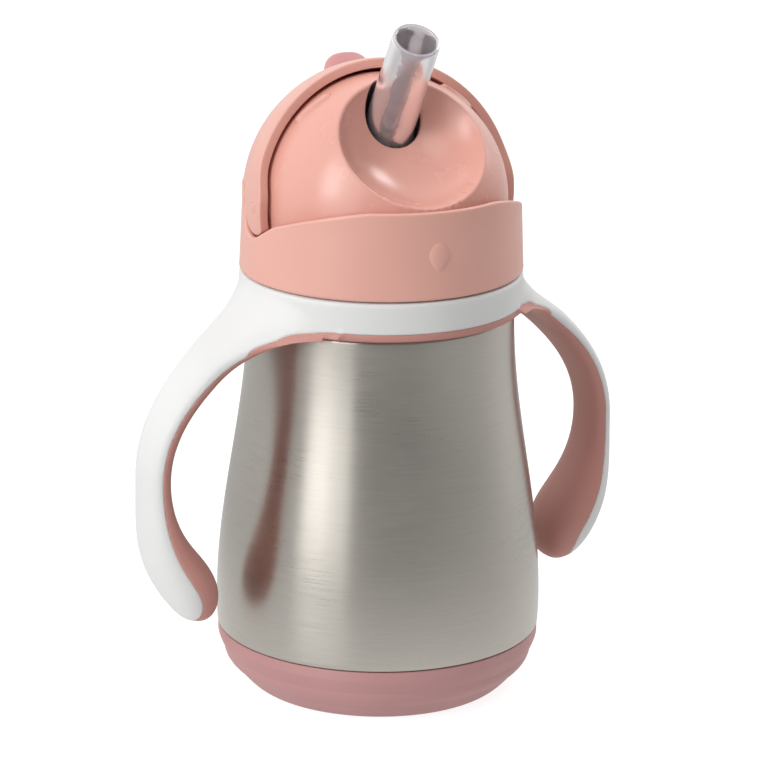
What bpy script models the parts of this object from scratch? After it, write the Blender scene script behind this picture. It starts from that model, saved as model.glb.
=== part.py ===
"""Insulated sippy cup: steel bottle, two-handled ring, screw lid, swinging hood and folding silicone straw.

Metres, +Z up. The origin is the centre of the base, the front is -Y and the handles reach along X.
"""

import math

import bmesh
import bpy
from mathutils import Matrix, Vector

SIDES = 40                     # facets round every large turned piece
SMALL_SIDES = 16               # facets round the small turned pieces
THREAD_SIDES = 20              # facets a turn along the threads
FOOT_STEPS = 6                 # facets down the rounded foot of the bottle and of its boot
GAP = 0.0003                   # air between touching pieces

# Bottle
BELLY_RADIUS = 0.04105
BELLY_HEIGHT = 0.021
NECK_FOOT_RADIUS = 0.0333      # where the cone of the bottle ends, under the handle ring
NECK_FOOT_HEIGHT = 0.0976
SHOULDER_HEIGHT = 0.0972
NECK_RADIUS = 0.0302
MOUTH_HEIGHT = 0.1153
STEEL = 0.0005                 # sheet thickness of both walls
VACUUM_GAP = 0.0022
BOOT_HEIGHT = 0.015
BOOT_RADIUS = 0.0404
BOOT_BASE_RADIUS = 0.032
BOOT_ROUNDING = 0.0126         # height at which the boot starts to turn in
BOOT_SEAT_RADIUS = 0.039       # the steel steps in to this radius under the boot
SHELL_BASE_RADIUS = 0.0308     # where the steel's rounded foot ends, round the welded base cup
SHELL_ROUNDING = 0.0124        # height at which the steel starts to turn in under the boot
SHELL_LOW = 0.0030
FOOT_POWER = 1.5               # fullness of the rounded foot, 1 for an ellipse

# Thread, right-handed: the lid rises by one pitch a turn
PITCH = 0.0032
THREAD_DEPTH = 0.0009
THREAD_HALF = 0.0006
THREAD_START = 0.1098
NECK_THREAD_TURNS = 1.25
LID_THREAD_FIRST_TURN = 0.42   # where the lid's thread starts on its helix, in turns
LID_THREAD_TURNS = 1.0

# Handle ring
HANDLE_TURN = math.radians(5.15)
RING_RADIUS = 0.0354
RING_BORE = 0.0316
RING_LOW = 0.0975
RING_TOP = 0.1074
PARTING_HEIGHT = 0.0991        # white above, soft grip below
ARM_ROOT = Vector((0.0333, 0.1064))        # points of an arm's centre line are (x, z)
ARM_WIDEST = Vector((0.06304, 0.06081))
ARM_TIP = Vector((0.05330, 0.02230))
ARM_ROOT_PULL = Vector((0.0027, -0.0125))
ARM_WIDEST_PULL_UP = 0.0240
ARM_WIDEST_PULL_DOWN = 0.0260
ARM_TIP_PULL = Vector((-0.0030, 0.0128))
ARM_THICKNESS = (0.0033, 0.00324, 0.0083)  # half thickness at the root, the widest point and the tip
ARM_WIDTH = (0.0101, 0.00673, 0.0122)      # half width at the same places
ARM_END_ROUNDING = 0.0300                  # length over which the tip rounds off
ARM_END_POWER = 2.7                        # fullness of the rounded end, 2 for an ellipse
WEB_RADIUS = 0.0160                        # of the fillets between an arm's edges and the ring's underside
WEB_START = 0.0095                         # distance down the arm at which the fillets leave the ring
WEB_THINNING = 0.4                         # how much flatter the arm's outside is where it leaves the ring
ARM_BORE = 0.0322                          # the arms start outside this radius, inside the ring's wall
PARTING_OFFSET = 0.1                       # share of the half thickness, towards the outside

# Lid
PIVOT_HEIGHT = 0.125
SKIRT_LOW = 0.1077
SKIRT_LOW_RADIUS = 0.03535
SKIRT_TOP_RADIUS = 0.03465
SKIRT_BORE = 0.0335
SKIRT_FRONT_TOP = 0.1295
SKIRT_SIDE_TOP = 0.12165
SKIRT_BACK_TOP = 0.1293
NOTCH_RADIUS = 0.0068
NOTCH_LEAN = math.radians(30)              # of the notch's straight front edge
NOTCH_FRONT = 0.0090                       # length of that edge
DOME_RADIUS = 0.0313
DOME_WALL = 0.0016
COLLAR_RADIUS = 0.0332
COLLAR_BORE = 0.0316
COLLAR_LOW = 0.1082
COLLAR_TOP = 0.1180
LID_CEILING = 0.1168
LID_EYE_RADIUS = 0.0275
SCOOP_TILT = math.radians(46)              # of the scoop's axis, forward from vertical
SCOOP_CENTRE = 0.0368                      # distance of the scoop's centre from the pivot
SCOOP_RADIUS = 0.0196
SCOOP_POWER = 3.6                          # fullness of the scoop: 2 for a ball, more for a flatter floor
STRAW_LEAN = math.radians(33)              # forward from vertical
STRAW_HOLE = Vector((0.0, -0.0043, 0.1448))
STRAW_HOLE_RADIUS = 0.0073
SOCKET_RADIUS = 0.0088
PAD_PLACE = Vector((0.0200, -0.0060, 0.0232))  # from the pivot; the pads grip the closed hood's back edge

# Straw, measured along its axis from the hole
STRAW_BEND = 0.0063
STRAW_TOP = 0.0281
STRAW_TOP_RADIUS = 0.0056
STRAW_FOOT_RADIUS = 0.0061
STRAW_WALL = 0.0012
STEM_TOP = 0.0058
TIP_FOOT = 0.0068
STEM_LOW = -0.0120

# Hood
HOOD_RADIUS = 0.0346
HOOD_WALL = 0.0024
EAR_RADIUS = 0.0064
HOOD_FRONT = -0.0029                       # the arch's plane at the pivot's height
HOOD_LEAN = 0.185                          # how far that plane leans back per metre of height
EAR_FRONT = -0.0042                        # the ear's straight front edge
HOOD_BACK_EDGE = 0.0046                    # above the pivot
TAB_ANGLE = math.radians(39)
TAB_HALF = (0.0061, 0.0034, 0.0060)        # across, along the hood and out from it
PIN_RADIUS = 0.0016

# Weighted hose
HOSE_Y = 0.0034
HOSE_TOP = 0.1210
HOSE_LOW = 0.0320
HOSE_RADIUS = 0.0036
HOSE_BORE = 0.0026
WEIGHT_RADIUS = 0.0090

SCOOP_AXIS = Vector((0, -math.sin(SCOOP_TILT), math.cos(SCOOP_TILT)))
STRAW_AXIS = Vector((0, -math.sin(STRAW_LEAN), math.cos(STRAW_LEAN)))
PIVOT = Vector((0, 0, PIVOT_HEIGHT))


def clear_scene():
    for obj in list(bpy.data.objects):
        bpy.data.objects.remove(obj, do_unlink=True)


def material(name, colour, roughness, metallic=0.0, alpha=1.0):
    made = bpy.data.materials.new(name)
    made.use_nodes = True
    shader = made.node_tree.nodes["Principled BSDF"]
    shader.inputs["Base Color"].default_value = (*colour, 1.0)
    shader.inputs["Roughness"].default_value = roughness
    shader.inputs["Metallic"].default_value = metallic
    shader.inputs["Alpha"].default_value = alpha
    return made


def empty(name, location, parent=None):
    made = bpy.data.objects.new(name, None)
    made.location = location
    made.parent = parent
    bpy.context.collection.objects.link(made)
    return made


def object_from(name, bm, finish=None, parent=None):
    """Link a bmesh as an object. Its coordinates are those of the parent, or the world's."""
    bmesh.ops.remove_doubles(bm, verts=bm.verts, dist=1e-6)
    bmesh.ops.recalc_face_normals(bm, faces=bm.faces)
    mesh = bpy.data.meshes.new(name)
    bm.to_mesh(mesh)
    bm.free()
    made = bpy.data.objects.new(name, mesh)
    bpy.context.collection.objects.link(made)
    made.parent = parent
    if finish:
        mesh.materials.append(finish)
        mesh.shade_smooth()
        mesh.set_sharp_from_angle(angle=math.radians(35))
    return made


def helper(name, bm, parent=None):
    """A cutter or a shape to join, which is no piece of its own."""
    made = object_from(name, bm, parent=parent)
    made.hide_render = True
    made.display_type = "WIRE"
    return made


def boolean(obj, operation, other):
    modifier = obj.modifiers.new(f"{operation.lower()}_{other.name}", "BOOLEAN")
    modifier.operation = operation
    modifier.object = other
    modifier.solver = "EXACT"


def turned(outline, sides=SIDES):
    """A bmesh turned about Z from (radius, height) points; an outline off the axis closes on itself."""
    bm = bmesh.new()
    verts = [bm.verts.new((radius, 0, height)) for radius, height in outline]
    edges = [bm.edges.new(pair) for pair in zip(verts, verts[1:])]
    if outline[0][0] > 0:
        edges.append(bm.edges.new((verts[-1], verts[0])))
    bmesh.ops.spin(bm, geom=verts + edges, axis=(0, 0, 1), cent=(0, 0, 0),
                   angle=math.tau, steps=sides, use_merge=False)
    return bm


def skinned(rings, closed=False):
    """A bmesh through rings of points: open ends are capped, and a closed run joins its last ring to its first."""
    bm = bmesh.new()
    made = [[bm.verts.new(point) for point in ring] for ring in rings]
    pairs = list(zip(made, made[1:]))
    if closed:
        pairs.append((made[-1], made[0]))
    for low, high in pairs:
        for i in range(len(low)):
            j = (i + 1) % len(low)
            bm.faces.new((low[i], low[j], high[j], high[i]))
    if not closed:
        bm.faces.new(made[0])
        bm.faces.new(made[-1])
    return bm


def prism(outline, place, half_length):
    """A bmesh of a flat outline carried both ways along the axis that place(u, v, w) gives to w."""
    return skinned([[place(u, v, w) for u, v in outline] for w in (-half_length, half_length)])


def cylinder(radius, low, high, axis, start, sides=SMALL_SIDES):
    """A bmesh cylinder along axis, from low to high measured from start."""
    bm = turned([(0, low), (radius, low), (radius, high), (0, high)], sides)
    turn = Vector((0, 0, 1)).rotation_difference(axis).to_matrix().to_4x4()
    bm.transform(Matrix.Translation(start) @ turn)
    return bm


def ball(radius, centre, sides=SIDES):
    half = sides // 4
    angles = [math.pi * i / (2 * half) - math.pi / 2 for i in range(2 * half + 1)]
    outline = [(max(radius * math.cos(a), 0.0), radius * math.sin(a)) for a in angles]
    outline[0] = (0.0, -radius)
    outline[-1] = (0.0, radius)
    bm = turned(outline, sides)
    bm.transform(Matrix.Translation(centre))
    return bm


def arc(radius, start, end, count, centre=(0, 0)):
    """Points on a circle, the angles in degrees."""
    angles = [math.radians(start + (end - start) * i / count) for i in range(count + 1)]
    return [(centre[0] + radius * math.cos(a), centre[1] + radius * math.sin(a)) for a in angles]


def bezier(a, b, c, d, count):
    points = []
    for i in range(count + 1):
        t = i / count
        s = 1 - t
        points.append(a * s**3 + b * 3 * s * s * t + c * 3 * s * t * t + d * t**3)
    return points


def ease(t):
    t = min(max(t, 0.0), 1.0)
    return t * t * (3 - 2 * t)


# ---------------------------------------------------------------- bottle

def bottle_radius(height):
    """Outer radius of the steel: a half cosine from the belly up to the neck's foot, and a slight tuck below."""
    if height < BELLY_HEIGHT:
        return BELLY_RADIUS - 7.0 * (BELLY_HEIGHT - height) ** 2
    share = (height - BELLY_HEIGHT) / (NECK_FOOT_HEIGHT - BELLY_HEIGHT)
    return NECK_FOOT_RADIUS + (BELLY_RADIUS - NECK_FOOT_RADIUS) * (1 + math.cos(math.pi * share)) / 2


def rounded_foot(outer, high, base, low):
    """Points down a wall's rounded foot, from the wall at its outer radius in to the base."""
    turns = [math.pi / 2 * i / FOOT_STEPS for i in range(FOOT_STEPS + 1)]
    radii = [base + (outer - base) * math.cos(a) ** FOOT_POWER for a in turns]
    heights = [low + (high - low) * (1 - math.sin(a) ** FOOT_POWER) for a in turns]
    return list(zip(radii, heights))


def wall(low, high, count, inset):
    """Points of the bottle's wall from high to low, inset from the outer face."""
    heights = [high + (low - high) * i / count for i in range(count + 1)]
    return [(bottle_radius(h) - inset, h) for h in heights]


def helix_ridge(radius, outward, first_turn, turns, start):
    """A trapezoid ridge along a right-handed helix, its foot sunk into the wall that it stands on."""
    foot = radius - outward * 0.0003
    crest = radius + outward * THREAD_DEPTH
    section = [(foot, -THREAD_HALF), (crest, -THREAD_HALF / 2), (crest, THREAD_HALF / 2), (foot, THREAD_HALF)]
    steps = round(turns * THREAD_SIDES)
    rings = []
    for i in range(steps + 1):
        turn = first_turn + i / THREAD_SIDES
        run_out = min(1.0, (min(i, steps - i) + 1) / 3)
        height = start + PITCH * turn
        angle = math.tau * turn
        ring = []
        for r, rise in section:
            r = foot + (r - foot) * run_out
            ring.append((r * math.cos(angle), r * math.sin(angle), height + rise))
        rings.append(ring)
    return skinned(rings)


def make_bottle(steel, polished, boot_finish):
    neck = NECK_RADIUS
    step = BOOT_HEIGHT + GAP
    outer = [(neck, MOUTH_HEIGHT - 0.0007), (neck, SHOULDER_HEIGHT + 0.0004), (neck + 0.0004, SHOULDER_HEIGHT)]
    outer += [(NECK_FOOT_RADIUS - 0.0005, SHOULDER_HEIGHT)]
    outer += wall(step, SHOULDER_HEIGHT - 0.0005, 9, 0)
    outer += [(BOOT_SEAT_RADIUS, step)]
    outer += rounded_foot(BOOT_SEAT_RADIUS, SHELL_ROUNDING, SHELL_BASE_RADIUS, SHELL_LOW)
    inner = rounded_foot(BOOT_SEAT_RADIUS - STEEL, SHELL_ROUNDING, SHELL_BASE_RADIUS, SHELL_LOW + STEEL)[::-1]
    inner += [(BOOT_SEAT_RADIUS - STEEL, step + STEEL)]
    inner += wall(step + STEEL, SHOULDER_HEIGHT - 0.001, 5, STEEL)[::-1]
    inner += [(neck - STEEL, SHOULDER_HEIGHT - STEEL), (neck - STEEL, MOUTH_HEIGHT - 0.0007)]
    shell = object_from("outer_shell", turned(outer + inner), steel)
    thread = helper("neck_thread", helix_ridge(neck, 1, 0, NECK_THREAD_TURNS, THREAD_START))
    boolean(shell, "UNION", thread)

    inset = STEEL + VACUUM_GAP
    neck_out = neck - STEEL - GAP
    floor_corner = 0.0075
    floor_out = 0.0064
    body_low = floor_out + floor_corner
    corner = (bottle_radius(body_low) - inset - floor_corner, body_low)
    flange = [(neck_out, MOUTH_HEIGHT - 0.0004), (neck, MOUTH_HEIGHT - 0.0004), (neck, MOUTH_HEIGHT)]
    inside = [(neck_out - STEEL, MOUTH_HEIGHT), (neck_out - STEEL, SHOULDER_HEIGHT)]
    inside += wall(body_low, SHOULDER_HEIGHT - 0.006, 6, inset + STEEL)
    inside += arc(floor_corner - STEEL, -15, -90, 3, corner)
    inside += [(0, floor_out + STEEL), (0, floor_out)]
    outside = arc(floor_corner, -90, -15, 3, corner)
    outside += wall(body_low, SHOULDER_HEIGHT - 0.006, 6, inset)[::-1]
    outside += [(neck_out, SHOULDER_HEIGHT)]
    vessel = (inside + outside + flange)
    start = vessel.index((0, floor_out))
    object_from("inner_vessel", turned(vessel[start:] + vessel[:start]), polished)

    cup_radius = SHELL_BASE_RADIUS - GAP
    cup = [(0, 0.0030), (0.0274, 0.0030), (0.0280, 0.0036), (cup_radius, 0.0036),
           (cup_radius, 0.0031), (0.0285, 0.0031), (0.0277, 0.0022), (0, 0.0022)]
    object_from("base_cup", turned(cup), polished)
    getter = [(0, 0.0052), (0.0052, 0.0052), (0.0060, 0.0044), (0.0060, 0.0033), (0, 0.0033)]
    object_from("getter_cup", turned(getter, SMALL_SIDES), polished)

    floor = 0.0016
    boot = [(0, floor), (SHELL_BASE_RADIUS - 0.002, floor)]
    boot += rounded_foot(BOOT_SEAT_RADIUS + GAP, SHELL_ROUNDING, SHELL_BASE_RADIUS + GAP, SHELL_LOW - GAP)[::-1]
    boot += [(BOOT_SEAT_RADIUS + GAP, BOOT_HEIGHT), (bottle_radius(step) - 0.0002, BOOT_HEIGHT)]
    boot += rounded_foot(BOOT_RADIUS, BOOT_ROUNDING, BOOT_BASE_RADIUS, 0)
    object_from("base_boot", turned(boot + [(0, 0)]), boot_finish)


# ---------------------------------------------------------------- handle ring

def arm_line(count):
    """The centre line of an arm from the ring to its free tip, as (x, z) points that crowd at the tip."""
    up = Vector((0, ARM_WIDEST_PULL_UP))
    down = Vector((0, -ARM_WIDEST_PULL_DOWN))
    upper = bezier(ARM_ROOT, ARM_ROOT + ARM_ROOT_PULL, ARM_WIDEST + up, ARM_WIDEST, count)
    lower = bezier(ARM_WIDEST, ARM_WIDEST + down, ARM_TIP + ARM_TIP_PULL, ARM_TIP, 4 * count)
    return upper + lower[4:-4:4] + lower[-4:]


def along(points):
    """Distance along a line of points, and the unit normal at each that points away from the cup."""
    lengths = [0.0]
    for a, b in zip(points, points[1:]):
        lengths.append(lengths[-1] + (b - a).length)
    normals = []
    for i in range(len(points)):
        run = points[min(i + 1, len(points) - 1)] - points[max(i - 1, 0)]
        run.normalize()
        normals.append(Vector((-run.y, run.x)))
    return lengths, normals


def between(values, share, middle):
    """A smooth run through three values at shares 0, middle and 1."""
    first, second, third = values
    if share < middle:
        return first + (second - first) * (1 - math.cos(math.pi * share / middle)) / 2
    return second + (third - second) * (1 - math.cos(math.pi * (share - middle) / (1 - middle))) / 2


def arm_sections(count, points_round):
    line = arm_line(count)
    lengths, normals = along(line)
    total = lengths[-1]
    middle = lengths[count] / total
    rings = []
    for point, length, normal in list(zip(line, lengths, normals))[:-1]:
        share = length / total
        left = min((total - length) / ARM_END_ROUNDING, 1.0)
        rounding = (1 - (1 - left) ** ARM_END_POWER) ** (1 / ARM_END_POWER)
        below = min(max((length - WEB_START) / WEB_RADIUS, 0.0), 1.0)
        hug = 1 - ease(below)
        flare = 1 - math.sqrt(1 - (1 - below) ** 2)
        thick = between(ARM_THICKNESS, share, middle) * rounding
        outer_thick = thick * (1 - WEB_THINNING * hug)
        wide = between(ARM_WIDTH, share, middle) * rounding + WEB_RADIUS * flare
        ring = []
        for i in range(points_round):
            angle = math.tau * i / points_round
            out = math.copysign(abs(math.cos(angle)) ** 0.8, math.cos(angle))
            out *= outer_thick if out > 0 else thick
            y = math.copysign(abs(math.sin(angle)) ** 0.8, math.sin(angle)) * wide
            follow_ring = hug * (math.sqrt(RING_RADIUS**2 - y * y) - RING_RADIUS)
            ring.append((point.x + out * normal.x + follow_ring, y, point.y + out * normal.y))
        rings.append(ring)
    return rings


def parting_line(offset):
    """Where the soft grip meets the hard frame, from a tip up one arm to the ring's middle, as (x, z) points."""
    line = arm_line(16)
    lengths, normals = along(line)
    total = lengths[-1]
    points = [Vector((ARM_TIP.x, 0.005))]
    for point, length, normal in list(zip(line, lengths, normals))[::-1]:
        if length < 0.017:
            break
        thick = between(ARM_THICKNESS, length / total, 0.55)
        points.append(point + normal * (thick * PARTING_OFFSET + offset))
    joined = points[-1]
    onward = (points[-1] - points[-2]).normalized() * 0.006
    height = PARTING_HEIGHT + offset
    points += bezier(joined, joined + onward, Vector((0.040, height)), Vector((0.031, height)), 6)[1:]
    return points


def grip_region(name, offset, parent):
    """Everything on the soft grip's side of the parting line, shifted by offset."""
    half = parting_line(offset)
    outline = [(p.x, p.y) for p in half] + [(-p.x, p.y) for p in half[::-1]]
    return helper(name, prism(outline, lambda u, v, w: (u, w, v), 0.045), parent)


def make_handles(white, grip):
    turn = empty("handle_axis", (0, 0, 0))
    turn.rotation_euler.z = HANDLE_TURN
    rings = arm_sections(9, 12)
    arms = [helper("arm_right", skinned(rings), turn)]
    mirrored = [[(-x, -y, z) for x, y, z in ring] for ring in rings]
    arms.append(helper("arm_left", skinned(mirrored), turn))
    bore = helper("arm_bore", cylinder(ARM_BORE, 0.080, 0.125, Vector((0, 0, 1)), Vector((0, 0, 0)), SIDES), turn)
    for arm in arms:
        boolean(arm, "DIFFERENCE", bore)
    edge = 0.0006
    outline = [(RING_BORE, RING_TOP), (RING_RADIUS - edge, RING_TOP), (RING_RADIUS, RING_TOP - edge),
               (RING_RADIUS, RING_LOW + edge), (RING_RADIUS - edge, RING_LOW), (RING_BORE, RING_LOW)]
    for name, finish, operation, offset in (("handle_frame", white, "DIFFERENCE", GAP / 2),
                                            ("handle_soft_grip", grip, "INTERSECT", -GAP / 2)):
        piece = object_from(name, turned(outline), finish, turn)
        for arm in arms:
            boolean(piece, "UNION", arm)
        boolean(piece, operation, grip_region(f"grip_side_of_{name}", offset, turn))


# ---------------------------------------------------------------- lid

def skirt_top(angle):
    """Height of the skirt's top edge; angle 0 is the front. The front is a slanted cut and the back is level."""
    y = -SKIRT_TOP_RADIUS * math.cos(angle)
    if y < 0:
        return SKIRT_SIDE_TOP + (SKIRT_FRONT_TOP - SKIRT_SIDE_TOP) * -y / SKIRT_TOP_RADIUS
    return SKIRT_SIDE_TOP + (SKIRT_BACK_TOP - SKIRT_SIDE_TOP) * ease((y - 0.003) / 0.010)


def make_skirt(finish):
    rings = []
    for i in range(SIDES):
        angle = math.tau * i / SIDES
        top = skirt_top(angle)
        middle = 0.116
        section = [(SKIRT_LOW_RADIUS - 0.0004, SKIRT_LOW), (SKIRT_LOW_RADIUS, SKIRT_LOW + 0.0005),
                   ((SKIRT_LOW_RADIUS + SKIRT_TOP_RADIUS) / 2 - 0.0001, middle),
                   (SKIRT_TOP_RADIUS, top - 0.0005), (SKIRT_TOP_RADIUS - 0.0004, top),
                   (SKIRT_BORE, top), (SKIRT_BORE, SKIRT_LOW)]
        rings.append([(r * math.sin(angle), -r * math.cos(angle), z) for r, z in section])
    skirt = object_from("lid_skirt", skinned(rings, closed=True), finish)
    notch = arc(NOTCH_RADIUS, 270 - math.degrees(NOTCH_LEAN), 360, 12) + [(NOTCH_RADIUS, 0.012)]
    corner = Vector(notch[0]) + Vector((-math.cos(NOTCH_LEAN), math.sin(NOTCH_LEAN))) * NOTCH_FRONT
    notch += [(corner.x, 0.012), (corner.x, corner.y)]
    cutter = prism(notch, lambda u, v, w: (w, u, v + PIVOT_HEIGHT), 0.05)
    boolean(skirt, "DIFFERENCE", helper("ear_notches", cutter))


def scoop_cutter(radius, steps):
    """A bowl about the scoop's axis, flatter than a ball on its floor and steeper at its rim."""
    turns = [math.pi / 2 * i / steps for i in range(1, steps)]
    power = 2 / SCOOP_POWER
    outline = [(0, 0), (radius, 0)]
    outline += [(radius * math.cos(a) ** power, -radius * math.sin(a) ** power) for a in turns]
    outline += [(0, -radius)]
    bm = turned(outline, 32)
    turn = Vector((0, 0, 1)).rotation_difference(SCOOP_AXIS).to_matrix().to_4x4()
    bm.transform(Matrix.Translation(PIVOT + SCOOP_AXIS * SCOOP_CENTRE) @ turn)
    return bm


def make_dome(finish):
    centre = (0, PIVOT_HEIGHT)
    inner = DOME_RADIUS - DOME_WALL
    outline = [(0, PIVOT_HEIGHT + DOME_RADIUS)] + arc(DOME_RADIUS, 82, 0, 9, centre)
    outline += [(DOME_RADIUS, COLLAR_TOP), (COLLAR_RADIUS, COLLAR_TOP - 0.0004), (COLLAR_RADIUS, COLLAR_LOW)]
    outline += [(COLLAR_BORE, COLLAR_LOW), (COLLAR_BORE, LID_CEILING), (0, LID_CEILING)]
    dome = object_from("lid_dome", turned(outline), finish)

    room = [(0, PIVOT_HEIGHT + inner)] + arc(inner, 78, 0, 6, centre)
    room += [(inner, COLLAR_TOP + 0.0002), (LID_EYE_RADIUS, COLLAR_TOP + 0.0002)]
    room += [(LID_EYE_RADIUS, LID_CEILING - 0.002), (0, LID_CEILING - 0.002)]
    hollow = helper("dome_room", turned(room))
    boolean(hollow, "DIFFERENCE", helper("scoop_wall", scoop_cutter(SCOOP_RADIUS + DOME_WALL, 7)))
    boolean(hollow, "DIFFERENCE",
            helper("straw_socket", cylinder(SOCKET_RADIUS, -0.0085, 0.013, STRAW_AXIS, STRAW_HOLE, 20)))
    boolean(dome, "DIFFERENCE", hollow)
    boolean(dome, "DIFFERENCE", helper("scoop", scoop_cutter(SCOOP_RADIUS, 10)))
    boolean(dome, "DIFFERENCE",
            helper("straw_bore", cylinder(STRAW_HOLE_RADIUS, -0.012, 0.020, STRAW_AXIS, STRAW_HOLE, 24)))

    for side, name in ((-1, "left"), (1, "right")):
        out = Vector((side, 0, 0))
        hole = cylinder(PIN_RADIUS + GAP, 0.028, 0.034, out, PIVOT)
        boolean(dome, "DIFFERENCE", helper(f"pin_hole_{name}", hole))
        place = Vector((side * PAD_PLACE.x, PAD_PLACE.y, PAD_PLACE.z))
        boolean(dome, "UNION", helper(f"pad_{name}", pad(place)))
    vent_axis = Vector((0, math.sin(math.pi / 4), math.cos(math.pi / 4)))
    boolean(dome, "DIFFERENCE", helper("vent_hole", cylinder(0.0015, 0.026, 0.034, vent_axis, PIVOT)))
    thread = helix_ridge(COLLAR_BORE, -1, LID_THREAD_FIRST_TURN, LID_THREAD_TURNS, THREAD_START - PITCH / 2)
    boolean(dome, "UNION", helper("lid_thread", thread))
    return vent_axis


def pad(place):
    """A low rounded block on the dome that the closed hood's back edge snaps over."""
    out = place.normalized()
    across = Vector((out.z, 0, -out.x)).normalized()
    over = out.cross(across)
    half = (0.0040, 0.0014)
    rings = []
    for radius, shrink in ((DOME_RADIUS - 0.0010, 1.0), (DOME_RADIUS + 0.0002, 1.0), (DOME_RADIUS + 0.0005, 0.75)):
        corners = [(half[0] * a * shrink, half[1] * b * shrink) for a, b in ((-1, -1), (1, -1), (1, 1), (-1, 1))]
        rings.append([PIVOT + out * radius + across * u + over * v for u, v in corners])
    return skinned(rings)


def make_vent_valve(finish, axis):
    outline = [(0, 0.0318), (0.0014, 0.0318), (0.0023, 0.0317), (0.0023, 0.0315), (0.0012, 0.0315), (0.0012, 0.0293),
               (0.0022, 0.0293), (0.0014, 0.0285), (0, 0.0285)]
    bm = turned(outline, SMALL_SIDES)
    turn = Vector((0, 0, 1)).rotation_difference(axis).to_matrix().to_4x4()
    bm.transform(Matrix.Translation(PIVOT) @ turn)
    object_from("vent_valve", bm, finish)


def make_gasket(finish):
    low = MOUTH_HEIGHT + GAP
    high = LID_CEILING - GAP
    outline = [(0.0313, high), (0.0313, low + 0.0002), (0.0310, low), (0.0284, low), (0.0280, low + 0.0003),
               (0.0280, high)]
    object_from("lid_gasket", turned(outline), finish)


def make_pins(finish):
    for side, name in ((-1, "left"), (1, "right")):
        pin = cylinder(PIN_RADIUS, 0.0290, 0.0335, Vector((side, 0, 0)), PIVOT)
        object_from(f"hood_pin_{name}", pin, finish)


# ---------------------------------------------------------------- straw

def tube_along_straw(name, stations, finish, parent=None):
    """A turned tube on the straw's axis from (outer radius, bore radius, distance from the hole) stations."""
    outline = [(outer, s) for outer, _, s in stations] + [(bore, s) for _, bore, s in stations[::-1]]
    bm = turned(outline, SMALL_SIDES)
    turn = Vector((0, 0, 1)).rotation_difference(STRAW_AXIS).to_matrix().to_4x4()
    origin = STRAW_HOLE - (parent.location if parent else Vector((0, 0, 0)))
    bm.transform(Matrix.Translation(origin) @ turn)
    return object_from(name, bm, finish, parent)


def make_straw(silicone, finish):
    bore = STRAW_FOOT_RADIUS - STRAW_WALL
    stem = [(STRAW_FOOT_RADIUS, bore, STEM_TOP), (STRAW_FOOT_RADIUS, bore, -0.0004),
            (STRAW_HOLE_RADIUS - GAP, bore, -0.0010), (STRAW_HOLE_RADIUS - GAP, 0.0034, -0.0060),
            (0.0052, 0.0034, -0.0075), (0.0052, 0.0034, STEM_LOW)]
    tube_along_straw("straw_stem", stem, silicone)

    bend = empty("straw_axis", STRAW_HOLE + STRAW_AXIS * STRAW_BEND)
    lip = 0.0006
    tip = [(STRAW_TOP_RADIUS - lip / 2, STRAW_TOP_RADIUS - STRAW_WALL + lip / 2, STRAW_TOP),
           (STRAW_TOP_RADIUS, STRAW_TOP_RADIUS - STRAW_WALL, STRAW_TOP - lip),
           (STRAW_FOOT_RADIUS - 0.0001, bore, TIP_FOOT)]
    tube_along_straw("straw_mouthpiece", tip, silicone, bend)

    start = STRAW_HOLE + STRAW_AXIS * (STEM_LOW + 0.004)
    knee = STRAW_HOLE + STRAW_AXIS * (STEM_LOW - 0.003)
    foot = Vector((0, HOSE_Y, HOSE_TOP + 0.001))
    path = [start, knee] + bezier(knee, knee - STRAW_AXIS * 0.003, foot + Vector((0, 0, 0.005)), foot, 6)[1:]
    outside = sweep(path, 0.0030)
    elbow = object_from("straw_elbow", outside, finish)
    longer = [start + STRAW_AXIS * 0.002] + path + [foot - Vector((0, 0, 0.002))]
    boolean(elbow, "DIFFERENCE", helper("elbow_bore", sweep(longer, 0.0020)))


def sweep(path, radius, sides=12):
    """A round bar along points that lie in the plane X = 0."""
    rings = []
    for i, point in enumerate(path):
        run = (path[min(i + 1, len(path) - 1)] - path[max(i - 1, 0)]).normalized()
        across = Vector((1, 0, 0))
        up = run.cross(across)
        angles = [math.tau * k / sides for k in range(sides)]
        rings.append([point + across * radius * math.cos(a) + up * radius * math.sin(a) for a in angles])
    return skinned(rings)


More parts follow.
